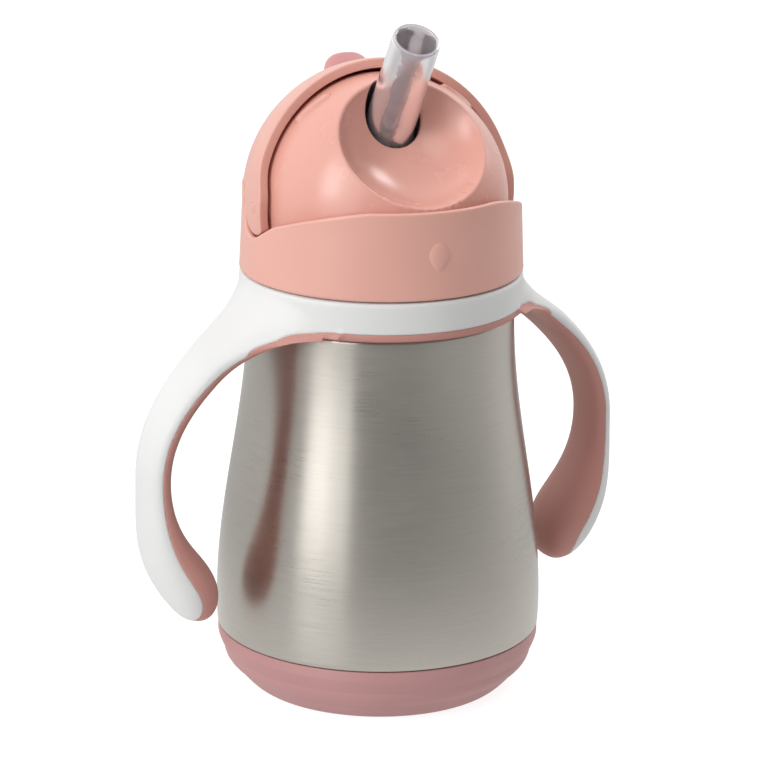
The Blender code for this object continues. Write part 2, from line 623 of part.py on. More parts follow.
def make_hose(silicone, finish, steel):
    axis = empty("hose_axis", (0, HOSE_Y, HOSE_TOP + 0.0005))
    drop = -axis.location.z

    def hanging(name, outline, material_):
        bm = turned([(r, z + drop) for r, z in outline], SMALL_SIDES)
        return object_from(name, bm, material_, axis)

    hanging("straw_hose", [(HOSE_RADIUS, HOSE_TOP), (HOSE_RADIUS, HOSE_LOW), (HOSE_BORE, HOSE_LOW),
                           (HOSE_BORE, HOSE_TOP)], silicone)
    cap_low = 0.0250
    cap_top = HOSE_LOW - GAP
    hanging("weight_cap", [(0.0034, cap_top), (0.0062, cap_top - 0.0012), (WEIGHT_RADIUS, cap_low + 0.0018),
                           (WEIGHT_RADIUS, cap_low), (0.0078, cap_low), (0.0078, cap_low + 0.0012),
                           (0.0054, cap_top - 0.0026), (0.0022, cap_top - 0.0016), (0.0022, cap_top)], finish)
    hanging("weight_slug", [(0.0075, 0.0240), (0.0075, 0.0124), (0.0030, 0.0124), (0.0030, 0.0240)], steel)
    base_top = cap_low - GAP
    shell = [(0, 0.0104), (0.0070, 0.0104), (0.0078, 0.0112), (0.0078, base_top), (WEIGHT_RADIUS, base_top),
             (WEIGHT_RADIUS, 0.0110), (0.0072, 0.0090), (0, 0.0090)]
    base = hanging("weight_base", shell, finish)
    for i in range(4):
        angle = math.tau * i / 4
        out = Vector((math.cos(angle), math.sin(angle), 0))
        inlet = cylinder(0.0010, 0.0060, 0.0110, out, Vector((0, 0, 0.0116 + drop)), 12)
        boolean(base, "DIFFERENCE", helper(f"inlet_{i + 1}", inlet, axis))


# ---------------------------------------------------------------- hood

def hood_outline():
    """The hood seen from the side, as (y, height) from the pivot: arch edge, ear and level back edge."""
    far = 0.040
    front = [(HOOD_FRONT + HOOD_LEAN * far, far), (HOOD_FRONT + HOOD_LEAN * 0.012, 0.012)]
    upper = [Vector(front[-1]), Vector((-0.0016, 0.0072)), Vector((EAR_FRONT, 0.0060)), Vector((EAR_FRONT, 0.0020))]
    blend = [(p.x, p.y) for p in bezier(*upper, 5)[1:]]
    ear = arc(EAR_RADIUS, 180 + math.degrees(math.acos(-EAR_FRONT / EAR_RADIUS)), 360, 12)
    back = arc(0.0016, 180, 90, 3, (EAR_RADIUS + 0.0016, HOOD_BACK_EDGE - 0.0016))
    return front + blend + ear + back + [(far, HOOD_BACK_EDGE), (far, far)]


def make_hood(finish, tab_finish):
    axis = empty("hood_axis", PIVOT)
    inner = HOOD_RADIUS - HOOD_WALL
    outline = [(0, HOOD_RADIUS)] + arc(HOOD_RADIUS, 82, -14, 12) + arc(inner, -14, 80, 10) + [(0, inner)]
    hood = object_from("hood_shell", turned(outline), finish, axis)
    side = prism(hood_outline(), lambda u, v, w: (w, u, v), 0.050)
    boolean(hood, "INTERSECT", helper("hood_side", side, axis))
    for name, place in (("left", -1), ("right", 1)):
        seat = cylinder(PIN_RADIUS + GAP, 0.030, 0.0338, Vector((place, 0, 0)), Vector((0, 0, 0)))
        boolean(hood, "DIFFERENCE", helper(f"pin_seat_{name}", seat, axis))

    bm = ball(1.0, Vector((0, 0, 0)), 24)
    bm.transform(Matrix.Diagonal((*TAB_HALF, 1.0)))
    place = Matrix.Rotation(-TAB_ANGLE, 4, "X") @ Matrix.Translation((0, 0, HOOD_RADIUS - 0.0003))
    bm.transform(place)
    tab = object_from("thumb_tab", bm, tab_finish, axis)
    boolean(tab, "DIFFERENCE", helper("tab_seat", ball(HOOD_RADIUS + GAP, Vector((0, 0, 0))), axis))


def main():
    clear_scene()
    steel = material("brushed_steel", (0.62, 0.60, 0.56), 0.32, 1.0)
    polished = material("polished_steel", (0.70, 0.70, 0.70), 0.18, 1.0)
    boot = material("mauve_silicone", (0.47, 0.24, 0.25), 0.60)
    white = material("white_plastic", (0.88, 0.88, 0.86), 0.45)
    grip = material("soft_grip", (0.62, 0.32, 0.29), 0.65)
    pink = material("satin_pink_plastic", (0.78, 0.46, 0.39), 0.42)
    gloss = material("gloss_pink_plastic", (0.82, 0.49, 0.41), 0.18)
    clear = material("clear_silicone", (0.85, 0.86, 0.88), 0.15, alpha=0.4)
    inner_plastic = material("natural_plastic", (0.80, 0.80, 0.78), 0.40)
    make_bottle(steel, polished, boot)
    make_handles(white, grip)
    make_skirt(pink)
    vent_axis = make_dome(gloss)
    make_vent_valve(clear, vent_axis)
    make_gasket(clear)
    make_pins(inner_plastic)
    make_straw(clear, inner_plastic)
    make_hose(clear, inner_plastic, polished)
    make_hood(pink, boot)


main()
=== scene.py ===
"""Looks of the sippy cup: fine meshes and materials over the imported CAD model. Metres, front is -Y."""

import math

import bmesh
import bpy
import numpy as np
from mathutils import Matrix, Vector


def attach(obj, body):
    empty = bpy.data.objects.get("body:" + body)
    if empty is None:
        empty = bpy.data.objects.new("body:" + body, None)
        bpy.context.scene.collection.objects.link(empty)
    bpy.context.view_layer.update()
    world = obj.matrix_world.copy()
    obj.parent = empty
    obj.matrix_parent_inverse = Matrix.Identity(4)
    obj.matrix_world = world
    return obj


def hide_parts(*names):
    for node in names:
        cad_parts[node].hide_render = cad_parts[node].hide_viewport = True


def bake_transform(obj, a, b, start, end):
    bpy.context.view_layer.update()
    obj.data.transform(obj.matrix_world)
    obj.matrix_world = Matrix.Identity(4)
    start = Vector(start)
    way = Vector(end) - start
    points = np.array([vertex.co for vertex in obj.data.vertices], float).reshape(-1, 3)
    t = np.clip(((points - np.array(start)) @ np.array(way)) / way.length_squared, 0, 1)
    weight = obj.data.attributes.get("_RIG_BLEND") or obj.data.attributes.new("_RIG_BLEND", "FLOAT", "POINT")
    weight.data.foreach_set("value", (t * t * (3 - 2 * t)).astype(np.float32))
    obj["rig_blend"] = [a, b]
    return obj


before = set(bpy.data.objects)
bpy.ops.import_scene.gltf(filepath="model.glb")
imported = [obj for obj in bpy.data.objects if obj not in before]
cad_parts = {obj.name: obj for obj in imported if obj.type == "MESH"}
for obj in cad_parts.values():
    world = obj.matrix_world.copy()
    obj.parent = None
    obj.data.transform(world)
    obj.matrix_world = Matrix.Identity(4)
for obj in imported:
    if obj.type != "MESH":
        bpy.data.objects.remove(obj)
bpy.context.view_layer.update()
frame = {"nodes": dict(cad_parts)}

ROUND = 192  # columns round a large turned surface
FINE_ROUND = 240  # and round the bottle
GAP = 0.0003  # air between touching pieces
PIVOT = np.array([0.0, 0.0, 0.125])

# Bottle
BELLY_RADIUS = 0.04105
BELLY_HEIGHT = 0.021
BELLY_TUCK = 7.0  # draw-in of the wall under the belly, over its height squared
NECK_FOOT_RADIUS = 0.0333
NECK_FOOT_HEIGHT = 0.0976
SHOULDER_HEIGHT = 0.0972
NECK_RADIUS = 0.0302
LIP_HEIGHT = 0.1146
SHELL_BORE = 0.0297
STEEL = 0.0006
BOOT_HEIGHT = 0.015
BOOT_RADIUS = 0.0407
BOOT_BASE_RADIUS = 0.0319
BOOT_ROUNDING = 0.0126
BOOT_POWER = 1.55  # shape of the boot's rounded foot: 1 for an ellipse, 2 for a straight bevel
SEAT_RADIUS = 0.039
THREAD_START = 0.1098
THREAD_PITCH = 0.0032
THREAD_TURNS = 1.25
THREAD_DEPTH = 0.0009

# Handle ring and arms, in the ring's own frame
HANDLE_TURN = math.radians(5.15)
RING_RADIUS = 0.0354
RING_BORE = 0.0316
RING_LOW = 0.0975
RING_TOP = 0.1074
PARTING_HEIGHT = 0.0991
ARM_ROOT = (0.0333, 0.1064)
ARM_ROOT_PULL = (0.0360, 0.0939)
ARM_WIDEST = (0.06304, 0.06081)
ARM_PULL_UP = 0.0240
ARM_PULL_DOWN = 0.0260
ARM_TIP = (0.05330, 0.02320)
ARM_TIP_PULL = (0.0503, 0.0360)
ARM_THICKNESS = (0.0033, 0.00324, 0.0083)
ARM_WIDTH = (0.0101, 0.00673, 0.0122)
ARM_END_ROUNDING = 0.0300
ARM_END_POWER = 2.7  # fullness of the rounded end, 2 for an ellipse
WEB_RADIUS = 0.0160  # of the fillets between an arm's edges and the ring's underside
WEB_START = 0.0095  # distance down the arm at which the fillets leave the ring
WEB_THINNING = 0.4
WEB_SINK = 0.0080  # half width at which an arm's outside starts to sink into the ring
SEAM_START = 0.0150  # distance down the arm at which the parting joins it
SEAM_RISE = 0.0013  # height of the parting over the ring's lower edge
SEAM_RUN_OUT = 0.0045  # by how much it has dropped where the fillets run out into the arm
SEAM_GROOVE = 0.00018
VOXEL = 0.00045

# Lid
SKIRT_LOW = 0.1077
SKIRT_LOW_RADIUS = 0.03535
SKIRT_TOP_RADIUS = 0.03465
SKIRT_BORE = 0.0335
SKIRT_TAPER_TOP = 0.124  # height at which the skirt has reached its top radius
SKIRT_LIP = 0.0006  # rounding of its edges
SKIRT_TOP = 0.1293
NOTCH_RADIUS = 0.0068
NOTCH_LEAN = math.radians(30)
DOME_RADIUS = 0.0312
SCOOP_TILT = math.radians(45.4)
SCOOP_AXIS = np.array([0.0, -math.sin(SCOOP_TILT), math.cos(SCOOP_TILT)])
SCOOP_DISTANCE = 0.0387
SCOOP_RADIUS = 0.0213
SCOOP_RIM = 0.0009  # softness of the rim
SCOOP_POWER = 2.6  # fullness of the scoop: 2 for a ball, more for a flatter floor
STRAW_LEAN = math.radians(33)
STRAW_AXIS = np.array([0.0, -math.sin(STRAW_LEAN), math.cos(STRAW_LEAN)])
STRAW_HOLE = np.array([0.0, -0.0043, 0.1448])
BORE_RADIUS = 0.0073
BORE_DEPTH = 0.0070
BORE_EDGE = 0.0007  # rounding of the hole's edge
STRAW_BEND = 0.0063  # from the hole, along the straw
STRAW_BLEND = 0.004  # the fold spreads this far either way
PAD_ENDS = ((-0.0231, -0.0008, 0.0226), (-0.0167, -0.0017, 0.0278))

# Hood
HOOD_RADIUS = 0.0346
HOOD_WALL = 0.0024
EAR_RADIUS = 0.0064
EAR_FRONT = -0.0042
ARCH_FRONT = -0.0029
ARCH_LEAN = 0.185
HOOD_BACK_EDGE = 0.0046
HOOD_LIP = 0.00045  # rounding of the outer edges
HOOD_INNER_LIP = 0.0003
TAB_ANGLE = math.radians(39)
TAB_HALF = (0.0061, 0.0030)  # across and along the hood
TAB_RISE = 0.0057

# Studio
FRONT_DIMNESS = 0.22  # brightness of the room in front of the cup, where 1 is the white behind
OVERHEAD = 0.6  # brightness of the room above it
FLOOR_GLOW = 0.85  # light of the floor as it is seen
FLOOR_NEAR = 0.55  # and as it falls on the cup from beside it,
FLOOR_FAR = 0.06  # from further off,
FLOOR_SIDE = 0.40  # from the right
FLOOR_BACK = 0.5  # and from behind
CAMERA_AZIMUTH = math.radians(-23.77)
CAMERA_ELEVATION = math.radians(16.63)
CAMERA_DISTANCE = 0.920
CAMERA_ROLL = math.radians(0.65)
CAMERA_LENS = 173.6
CAMERA_TARGET = Vector((0, 0, 0.0779))
LIGHT_TARGET = Vector((0, 0, 0.09))


# ---- Mesh helpers

def linked(name, data):
    """An object in the scene."""
    made = bpy.data.objects.new(name, data)
    bpy.context.collection.objects.link(made)
    return made


def mesh_object(name, points, faces, sharp=45, merge=True):
    """A mesh with its faces turned outwards, its doubled points merged and smooth shading."""
    mesh = bpy.data.meshes.new(name)
    mesh.from_pydata(np.asarray(points).tolist(), [], faces)
    bm = bmesh.new()
    bm.from_mesh(mesh)
    if merge:
        bmesh.ops.remove_doubles(bm, verts=bm.verts, dist=2e-7)
        bmesh.ops.dissolve_degenerate(bm, edges=bm.edges, dist=1e-8)
    bmesh.ops.recalc_face_normals(bm, faces=bm.faces)
    bm.to_mesh(mesh)
    bm.free()
    mesh.shade_smooth()
    mesh.set_sharp_from_angle(angle=math.radians(sharp))
    return linked(name, mesh)


def finish_piece(piece, look, body, nodes=()):
    """Give a piece its material and its CAD body, and hide the nodes it replaces."""
    piece.data.materials.clear()
    piece.data.materials.append(look)
    if body:
        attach(piece, body)
    if nodes:
        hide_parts(*nodes)
    return piece


def grid_faces(rows, columns, wrap_rows=False, wrap_columns=False, start=0):
    """Quads over a grid of points stored row by row."""
    i = np.arange(rows if wrap_rows else rows - 1)
    j = np.arange(columns if wrap_columns else columns - 1)
    i, j = [a.ravel() for a in np.meshgrid(i, j, indexing="ij")]
    low, high = i * columns, ((i + 1) % rows) * columns
    right = (j + 1) % columns
    return (start + np.stack([low + j, low + right, high + right, high + j], 1)).tolist()


def circle(count):
    return np.arange(count) * math.tau / count


def around_z(radius, angle, height):
    """Points at angles from the front."""
    x, y = radius * np.sin(angle), -radius * np.cos(angle)
    return np.stack([x, y, np.broadcast_to(height, x.shape)], -1)


def lathe(name, outline, sides=ROUND, close=True):
    """A surface turned about Z from (radius, height) points."""
    outline = np.asarray(outline, float)
    points = around_z(outline[:, 0, None], circle(sides), outline[:, 1, None]).reshape(-1, 3)
    on_axis = outline[0, 0] < 1e-9 and outline[-1, 0] < 1e-9
    faces = grid_faces(len(outline), sides, close and not on_axis, True)
    return mesh_object(name, points, faces)


def filleted(corners, steps=6):
    """A polyline through (x, y, fillet) corners, each corner rounded over its fillet length."""
    points = []
    for i, (x, y, fillet) in enumerate(corners):
        here = np.array([x, y])
        if not fillet or i in (0, len(corners) - 1):
            points.append(here)
            continue
        before = np.array(corners[i - 1][:2]) - here
        after = np.array(corners[i + 1][:2]) - here
        start = here + before * fillet / np.linalg.norm(before)
        end = here + after * fillet / np.linalg.norm(after)
        for t in np.linspace(0, 1, steps + 1):
            points.append(start * (1 - t) ** 2 + here * 2 * t * (1 - t) + end * t * t)
    return np.array(points)


def lip_steps(size, count):
    """Offsets round a quarter circle: from size to zero, and from zero to size."""
    return [(size * (1 - math.sin(turn)), size * (1 - math.cos(turn)))
            for turn in np.linspace(0, math.pi / 2, count)]


def bezier(a, b, c, d, count):
    t = np.linspace(0, 1, count)[:, None]
    s = 1 - t
    a, b, c, d = [np.asarray(p, float) for p in (a, b, c, d)]
    return a * s**3 + b * 3 * s * s * t + c * 3 * s * t * t + d * t**3


def run_lengths(points):
    """Each point's distance from the first, along a polyline."""
    return np.concatenate([[0], np.cumsum(np.linalg.norm(np.diff(points, axis=0), axis=1))])


def resampled(points, count):
    """Points evenly spread along a polyline."""
    lengths = run_lengths(points)
    wanted = np.linspace(0, lengths[-1], count)
    return np.stack([np.interp(wanted, lengths, points[:, k]) for k in range(points.shape[1])], 1)


def signed_power(values, power):
    return np.sign(values) * np.abs(values) ** power


def off_segment(points, a, b):
    """From the nearest place on a segment to each point."""
    run = b - a
    share = np.clip(((points - a) @ run) / (run @ run), 0, 1)
    return points - (a + share[:, None] * run)


def smooth_step(t):
    t = np.clip(t, 0, 1)
    return t * t * (3 - 2 * t)


def unit(v):
    return v / np.linalg.norm(v, axis=-1, keepdims=True)


# ---- Materials

def srgb(red, green, blue):
    """A linear colour from 0-255 display values."""
    shares = [c / 255 for c in (red, green, blue)]
    return tuple(c / 12.92 if c <= 0.04045 else ((c + 0.055) / 1.055) ** 2.4 for c in shares)


class Look:
    """A material or the world under construction, with the few nodes that this scene needs."""

    def __init__(self, owner, shader="Principled BSDF", place="Object", **constants):
        self.owner = owner
        owner.use_nodes = True
        self.tree = owner.node_tree
        self.shader = self.tree.nodes[shader]
        for key, value in constants.items():
            self.shader.inputs[key.replace("_", " ")].default_value = value
        self.place = self.node("ShaderNodeTexCoord").outputs[place]

    def node(self, kind, **values):
        made = self.tree.nodes.new(kind)
        for key, value in values.items():
            if hasattr(made, key):
                setattr(made, key, value)
            else:
                made.inputs[key.replace("_", " ")].default_value = value
        return made

    def join(self, output, target):
        self.tree.links.new(output, target)

    def noise(self, scale, detail=3.0, roughness=0.5, where=None):
        made = self.node("ShaderNodeTexNoise", Scale=scale, Detail=detail, Roughness=roughness)
        self.join(where or self.place, made.inputs["Vector"])
        return made.outputs["Fac"]

    def streaks(self, *scales):
        """Noise with its own scale along each axis."""
        mapping = self.node("ShaderNodeMapping", Scale=scales)
        self.join(self.place, mapping.inputs["Vector"])
        return self.noise(1.0, detail=2.0, where=mapping.outputs["Vector"])

    def spread(self, value, low, high, start=0.3, end=0.7, kind="LINEAR"):
        """Map a value's range from start to end onto low to high."""
        made = self.node("ShaderNodeMapRange", interpolation_type=kind,
                         From_Min=start, From_Max=end, To_Min=low, To_Max=high)
        self.join(value, made.inputs["Value"])
        return made.outputs["Result"]

    def maths(self, operation, first, *others):
        """Fold values into one by an operation on two."""
        for other in others:
            made = self.node("ShaderNodeMath", operation=operation)
            self.join(first, made.inputs[0])
            self.join(other, made.inputs[1])
            first = made.outputs["Value"]
        return first

    def axes(self):
        """The coordinates' X, Y and Z."""
        split = self.node("ShaderNodeSeparateXYZ")
        self.join(self.place, split.inputs["Vector"])
        return [split.outputs[axis] for axis in "XYZ"]

    def seen(self):
        """One where the camera looks, zero for all other light."""
        return self.node("ShaderNodeLightPath").outputs["Is Camera Ray"]

    def ramp(self, value, *stops):
        """A colour ramp through (position, colour) stops."""
        made = self.node("ShaderNodeValToRGB")
        while len(made.color_ramp.elements) < len(stops):
            made.color_ramp.elements.new(0.5)
        for element, (position, colour) in zip(made.color_ramp.elements, stops):
            element.position = position
            element.color = (*colour, 1.0)
        self.join(value, made.inputs["Fac"])
        return made.outputs["Color"]

    def bump(self, height, distance, strength):
        made = self.node("ShaderNodeBump", Strength=strength, Distance=distance)
        self.join(height, made.inputs["Height"])
        self.set("Normal", made.outputs["Normal"])

    def set(self, socket, output):
        self.join(output, self.shader.inputs[socket])


def plastic(name, light, dark, roughness, grain, grain_depth, **constants):
    """Moulded plastic or silicone: slow colour drift, fine grain and uneven gloss."""
    look = Look(bpy.data.materials.new(name), **constants)
    drift = look.noise(28, detail=2.0)
    look.set("Base Color", look.ramp(drift, (0.30, dark), (0.70, light)))
    patches = look.noise(90, detail=4.0, roughness=0.6)
    look.set("Roughness", look.spread(patches, roughness - 0.05, roughness + 0.05))
    look.bump(look.noise(grain, detail=2.0), grain_depth, 0.6)
    return look.owner


def brushed_steel():
    """Stainless sheet brushed round the bottle: fine streaks in colour and gloss."""
    look = Look(bpy.data.materials.new("brushed_stainless"), Metallic=1.0, Anisotropic=0.75,
                Anisotropic_Rotation=0.25)
    tangent = look.node("ShaderNodeTangent", direction_type="RADIAL", axis="Z")
    look.set("Tangent", tangent.outputs["Tangent"])
    fine = look.streaks(155, 155, 6000)
    broad = look.streaks(90, 90, 2600)
    cloud = look.noise(35, detail=3.0)
    streaks = look.spread(look.maths("ADD", fine, broad), 0, 1, 0.7, 1.3)
    look.set("Base Color", look.ramp(streaks, (0.0, srgb(185, 180, 172)), (1.0, srgb(192, 187, 179))))
    streaky = look.spread(streaks, 0.27, 0.33, 0, 1)
    look.set("Roughness", look.maths("ADD", streaky, look.spread(cloud, -0.02, 0.04)))
    return look.owner


def polished_steel():
    look = Look(bpy.data.materials.new("polished_stainless"), Metallic=1.0,
                Base_Color=(*srgb(205, 204, 201), 1.0))
    look.set("Roughness", look.spread(look.noise(160, detail=4.0), 0.14, 0.24))
    look.bump(look.streaks(60, 60, 3500), 0.00001, 0.4)
    return look.owner


def clear_silicone(name, tint, roughness, transmission):
    """Translucent silicone: a little tint, soft surface and faint flow lines."""
    look = Look(bpy.data.materials.new(name), IOR=1.41, Transmission_Weight=transmission,
                Roughness=roughness)
    drift = look.noise(120, detail=2.0)
    look.set("Base Color", look.ramp(drift, (0.3, tuple(c * 0.96 for c in tint)), (0.7, tint)))
    look.bump(look.streaks(260, 260, 130), 0.00030, 0.5)
    return look.owner


steel_look = brushed_steel()
polished_look = polished_steel()
boot_look = plastic("mauve_silicone", srgb(188, 141, 139), srgb(181, 133, 132), 0.52, 2600, 0.00003)
tab_look = plastic("mauve_silicone_tab", srgb(212, 152, 152), srgb(204, 143, 144), 0.42, 2600, 0.00002)
white_look = plastic("matt_white", srgb(226, 226, 225), srgb(221, 221, 220), 0.50, 3200, 0.00002)
grip_look = plastic("soft_grip_rose", srgb(200, 143, 133), srgb(192, 135, 126), 0.60, 2400, 0.00004)
satin_look = plastic("satin_salmon", srgb(229, 173, 159), srgb(224, 167, 153), 0.36, 3400, 0.00002)
gloss_look = plastic("gloss_salmon", srgb(228, 168, 154), srgb(225, 164, 150), 0.25, 900, 0.000002)
# The straw's socket gets a dark grey-violet colour: painted shade for the deep hole round the straw's foot,
# not the lid's own colour.
socket_painted_shade_look = plastic("socket_painted_shade", srgb(84, 66, 74), srgb(76, 60, 68), 0.45, 900, 0.000012)
straw_look = clear_silicone("clear_silicone", srgb(228, 223, 227), 0.17, 0.80)
inner_silicone_look = clear_silicone("frosted_silicone", srgb(226, 226, 228), 0.32, 0.5)
natural_look = plastic("natural_plastic", srgb(218, 218, 214), srgb(210, 210, 206), 0.40, 2400, 0.00003)


# ---- Bottle

def bottle_radius(height):
    share = (height - BELLY_HEIGHT) / (NECK_FOOT_HEIGHT - BELLY_HEIGHT)
    cone = NECK_FOOT_RADIUS + (BELLY_RADIUS - NECK_FOOT_RADIUS) * (1 + np.cos(math.pi * share)) / 2
    return np.where(height < BELLY_HEIGHT, BELLY_RADIUS - BELLY_TUCK * (BELLY_HEIGHT - height) ** 2, cone)


def thread_ridge(x, y, z):
    """Height of the neck's thread over its wall."""
    turn = np.arctan2(y, x) / math.tau % 1.0
    ridge = np.zeros_like(z)
    for lap in range(2):
        along = turn + lap
        off = np.abs(z - THREAD_START - THREAD_PITCH * along)
        shape = 1 - smooth_step((off - 0.0003) / 0.0004)
        run_out = smooth_step(along / 0.06) * smooth_step((THREAD_TURNS - along) / 0.06)
        ridge = np.maximum(ridge, shape * run_out)
    return ridge * THREAD_DEPTH


def make_outer_shell():
    step = BOOT_HEIGHT + GAP
    heights = np.linspace(LIP_HEIGHT - 0.0005, SHOULDER_HEIGHT + 0.001, 120)
    neck = np.stack([np.full_like(heights, NECK_RADIUS), heights], 1)
    foot, ledge = NECK_FOOT_RADIUS, SHOULDER_HEIGHT
    shoulder = filleted([(NECK_RADIUS, ledge + 0.0009, 0), (NECK_RADIUS, ledge, 0.0006),
                         (foot, ledge, 0.0008), (foot, ledge - 0.0016, 0)])
    heights = np.linspace(SHOULDER_HEIGHT - 0.0018, step + 0.0006, 150)
    wall = np.stack([bottle_radius(heights), heights], 1)
    low = float(bottle_radius(np.array(step)))
    base = filleted([(low, step + 0.0005, 0), (low, step, 0.0003),
                     (SEAT_RADIUS, step, 0.0003), (SEAT_RADIUS, 0.0060, 0.0035),
                     (0.0330, 0.0031, 0.0015), (0.0331, 0.0036, 0)])
    seat = SEAT_RADIUS - STEEL
    inside = filleted([(0.0334, 0.0038, 0), (seat, 0.0064, 0.003), (seat, 0.02, 0)])
    inner_heights = np.linspace(0.0210, 0.0946, 30)
    inner = np.stack([bottle_radius(inner_heights) - STEEL, inner_heights], 1)
    top = [(SHELL_BORE, 0.0962), (SHELL_BORE, LIP_HEIGHT), (NECK_RADIUS - 0.0001, LIP_HEIGHT)]
    outline = np.concatenate([neck, shoulder, wall, base, inside, inner, top])
    shell = lathe("steel_outer_shell", outline, FINE_ROUND)
    points = np.array([v.co for v in shell.data.vertices])
    radius = np.hypot(points[:, 0], points[:, 1])
    on_neck = (radius > NECK_RADIUS - 0.0001) & (points[:, 2] > SHOULDER_HEIGHT + 0.002)
    lift = np.where(on_neck, thread_ridge(*points.T), 0)
    points[:, :2] *= (1 + lift / radius)[:, None]
    shell.data.vertices.foreach_set("co", points.ravel())
    return shell


def make_boot():
    bend = np.linspace(0, math.pi / 2, 400)
    spread = BOOT_RADIUS - BOOT_BASE_RADIUS
    bore = SEAT_RADIUS + GAP
    floor = 0.0016
    curve = np.stack([BOOT_BASE_RADIUS + spread * np.cos(bend) ** BOOT_POWER,
                      BOOT_ROUNDING * (1 - np.sin(bend) ** BOOT_POWER)], 1)
    rim = filleted([(bore, 0.0120, 0), (bore, BOOT_HEIGHT, 0.0003),
                    (BOOT_RADIUS, BOOT_HEIGHT, 0.00045), (BOOT_RADIUS, BOOT_ROUNDING + 0.0002, 0)])
    inside = filleted([(0, floor, 0), (0.0325, floor, 0.001), (bore, 0.0065, 0.003), (bore, 0.0118, 0)])
    under = [(BOOT_BASE_RADIUS - 0.0004, 0), (0.030, 0), (0.0296, 0.0004), (0, 0.0004)]
    outline = np.concatenate([inside, rim, resampled(curve, 60)[:-1], under])
    return lathe("silicone_boot", outline, FINE_ROUND)


# ---- Handle ring

def arm_line(count):
    widest = np.array(ARM_WIDEST)
    upper = bezier(ARM_ROOT, ARM_ROOT_PULL, widest + (0, ARM_PULL_UP), widest, count)
    lower = bezier(widest, widest - (0, ARM_PULL_DOWN), ARM_TIP_PULL, ARM_TIP, count)
    return np.concatenate([upper, lower[1:]])


def measured(line):
    """Lengths along a line, and the normals that point away from the cup."""
    run = unit(np.gradient(line, axis=0))
    return run_lengths(line), np.stack([-run[:, 1], run[:, 0]], 1)


def between(values, share, middle):
    """A smooth run through three values at shares 0, middle and 1."""
    first, second, third = values
    early = first + (second - first) * (1 - np.cos(math.pi * share / middle)) / 2
    late = second + (third - second) * (1 - np.cos(math.pi * (share - middle) / (1 - middle))) / 2
    return np.where(share < middle, early, late)


def web_at(lengths):
    """By distance from the root: how closely an arm follows the ring, and how far the fillets widen it."""
    below = np.clip((lengths - WEB_START) / WEB_RADIUS, 0, 1)
    return 1 - smooth_step(below), WEB_RADIUS * (1 - np.sqrt(1 - (1 - below) ** 2))


def make_arm(name, side, sections=150, points_round=56):
    line = arm_line(400)
    lengths, normals = measured(line)
    total = lengths[-1]
    middle = lengths[399] / total
    spread = 1 - (1 - np.linspace(0, 0.99985, sections)) ** 1.35
    wanted = spread * total
    x, z = [np.interp(wanted, lengths, line[:, k]) for k in (0, 1)]
    nx, nz = [np.interp(wanted, lengths, normals[:, k]) for k in (0, 1)]
    left = np.clip((total - wanted) / ARM_END_ROUNDING, 0, 1)
    rounding = (1 - (1 - left) ** ARM_END_POWER) ** (1 / ARM_END_POWER)
    hug, flare = web_at(wanted)
    thick = between(ARM_THICKNESS, spread, middle) * rounding
    wide = between(ARM_WIDTH, spread, middle) * rounding + flare
    angle = circle(points_round)
    out, across = signed_power(np.cos(angle), 0.8), signed_power(np.sin(angle), 0.8)
    outer = thick * (1 - WEB_THINNING * hug)
    reach = np.where(out > 0, outer[:, None] * out, thick[:, None] * out)
    y = wide[:, None] * across
    shift = hug[:, None] * (np.sqrt(RING_RADIUS**2 - y**2) - RING_RADIUS)
    px = x[:, None] + reach * nx[:, None] + shift
    flush = np.sqrt((RING_RADIUS - 0.0004) ** 2 - y**2)
    sink = hug[:, None] * smooth_step((np.abs(y) - WEB_SINK) / WEB_RADIUS)
    px = np.where((out > 0) & (px > flush), px + (flush - px) * sink, px)
    pz = z[:, None] + reach * nz[:, None]
    points = np.stack([side * px, side * y, pz], 2).reshape(-1, 3)
    faces = grid_faces(sections, points_round, False, True)
    faces += [list(range(points_round)), list(range(len(points) - points_round, len(points)))]
    return mesh_object(name, points, faces, merge=False)


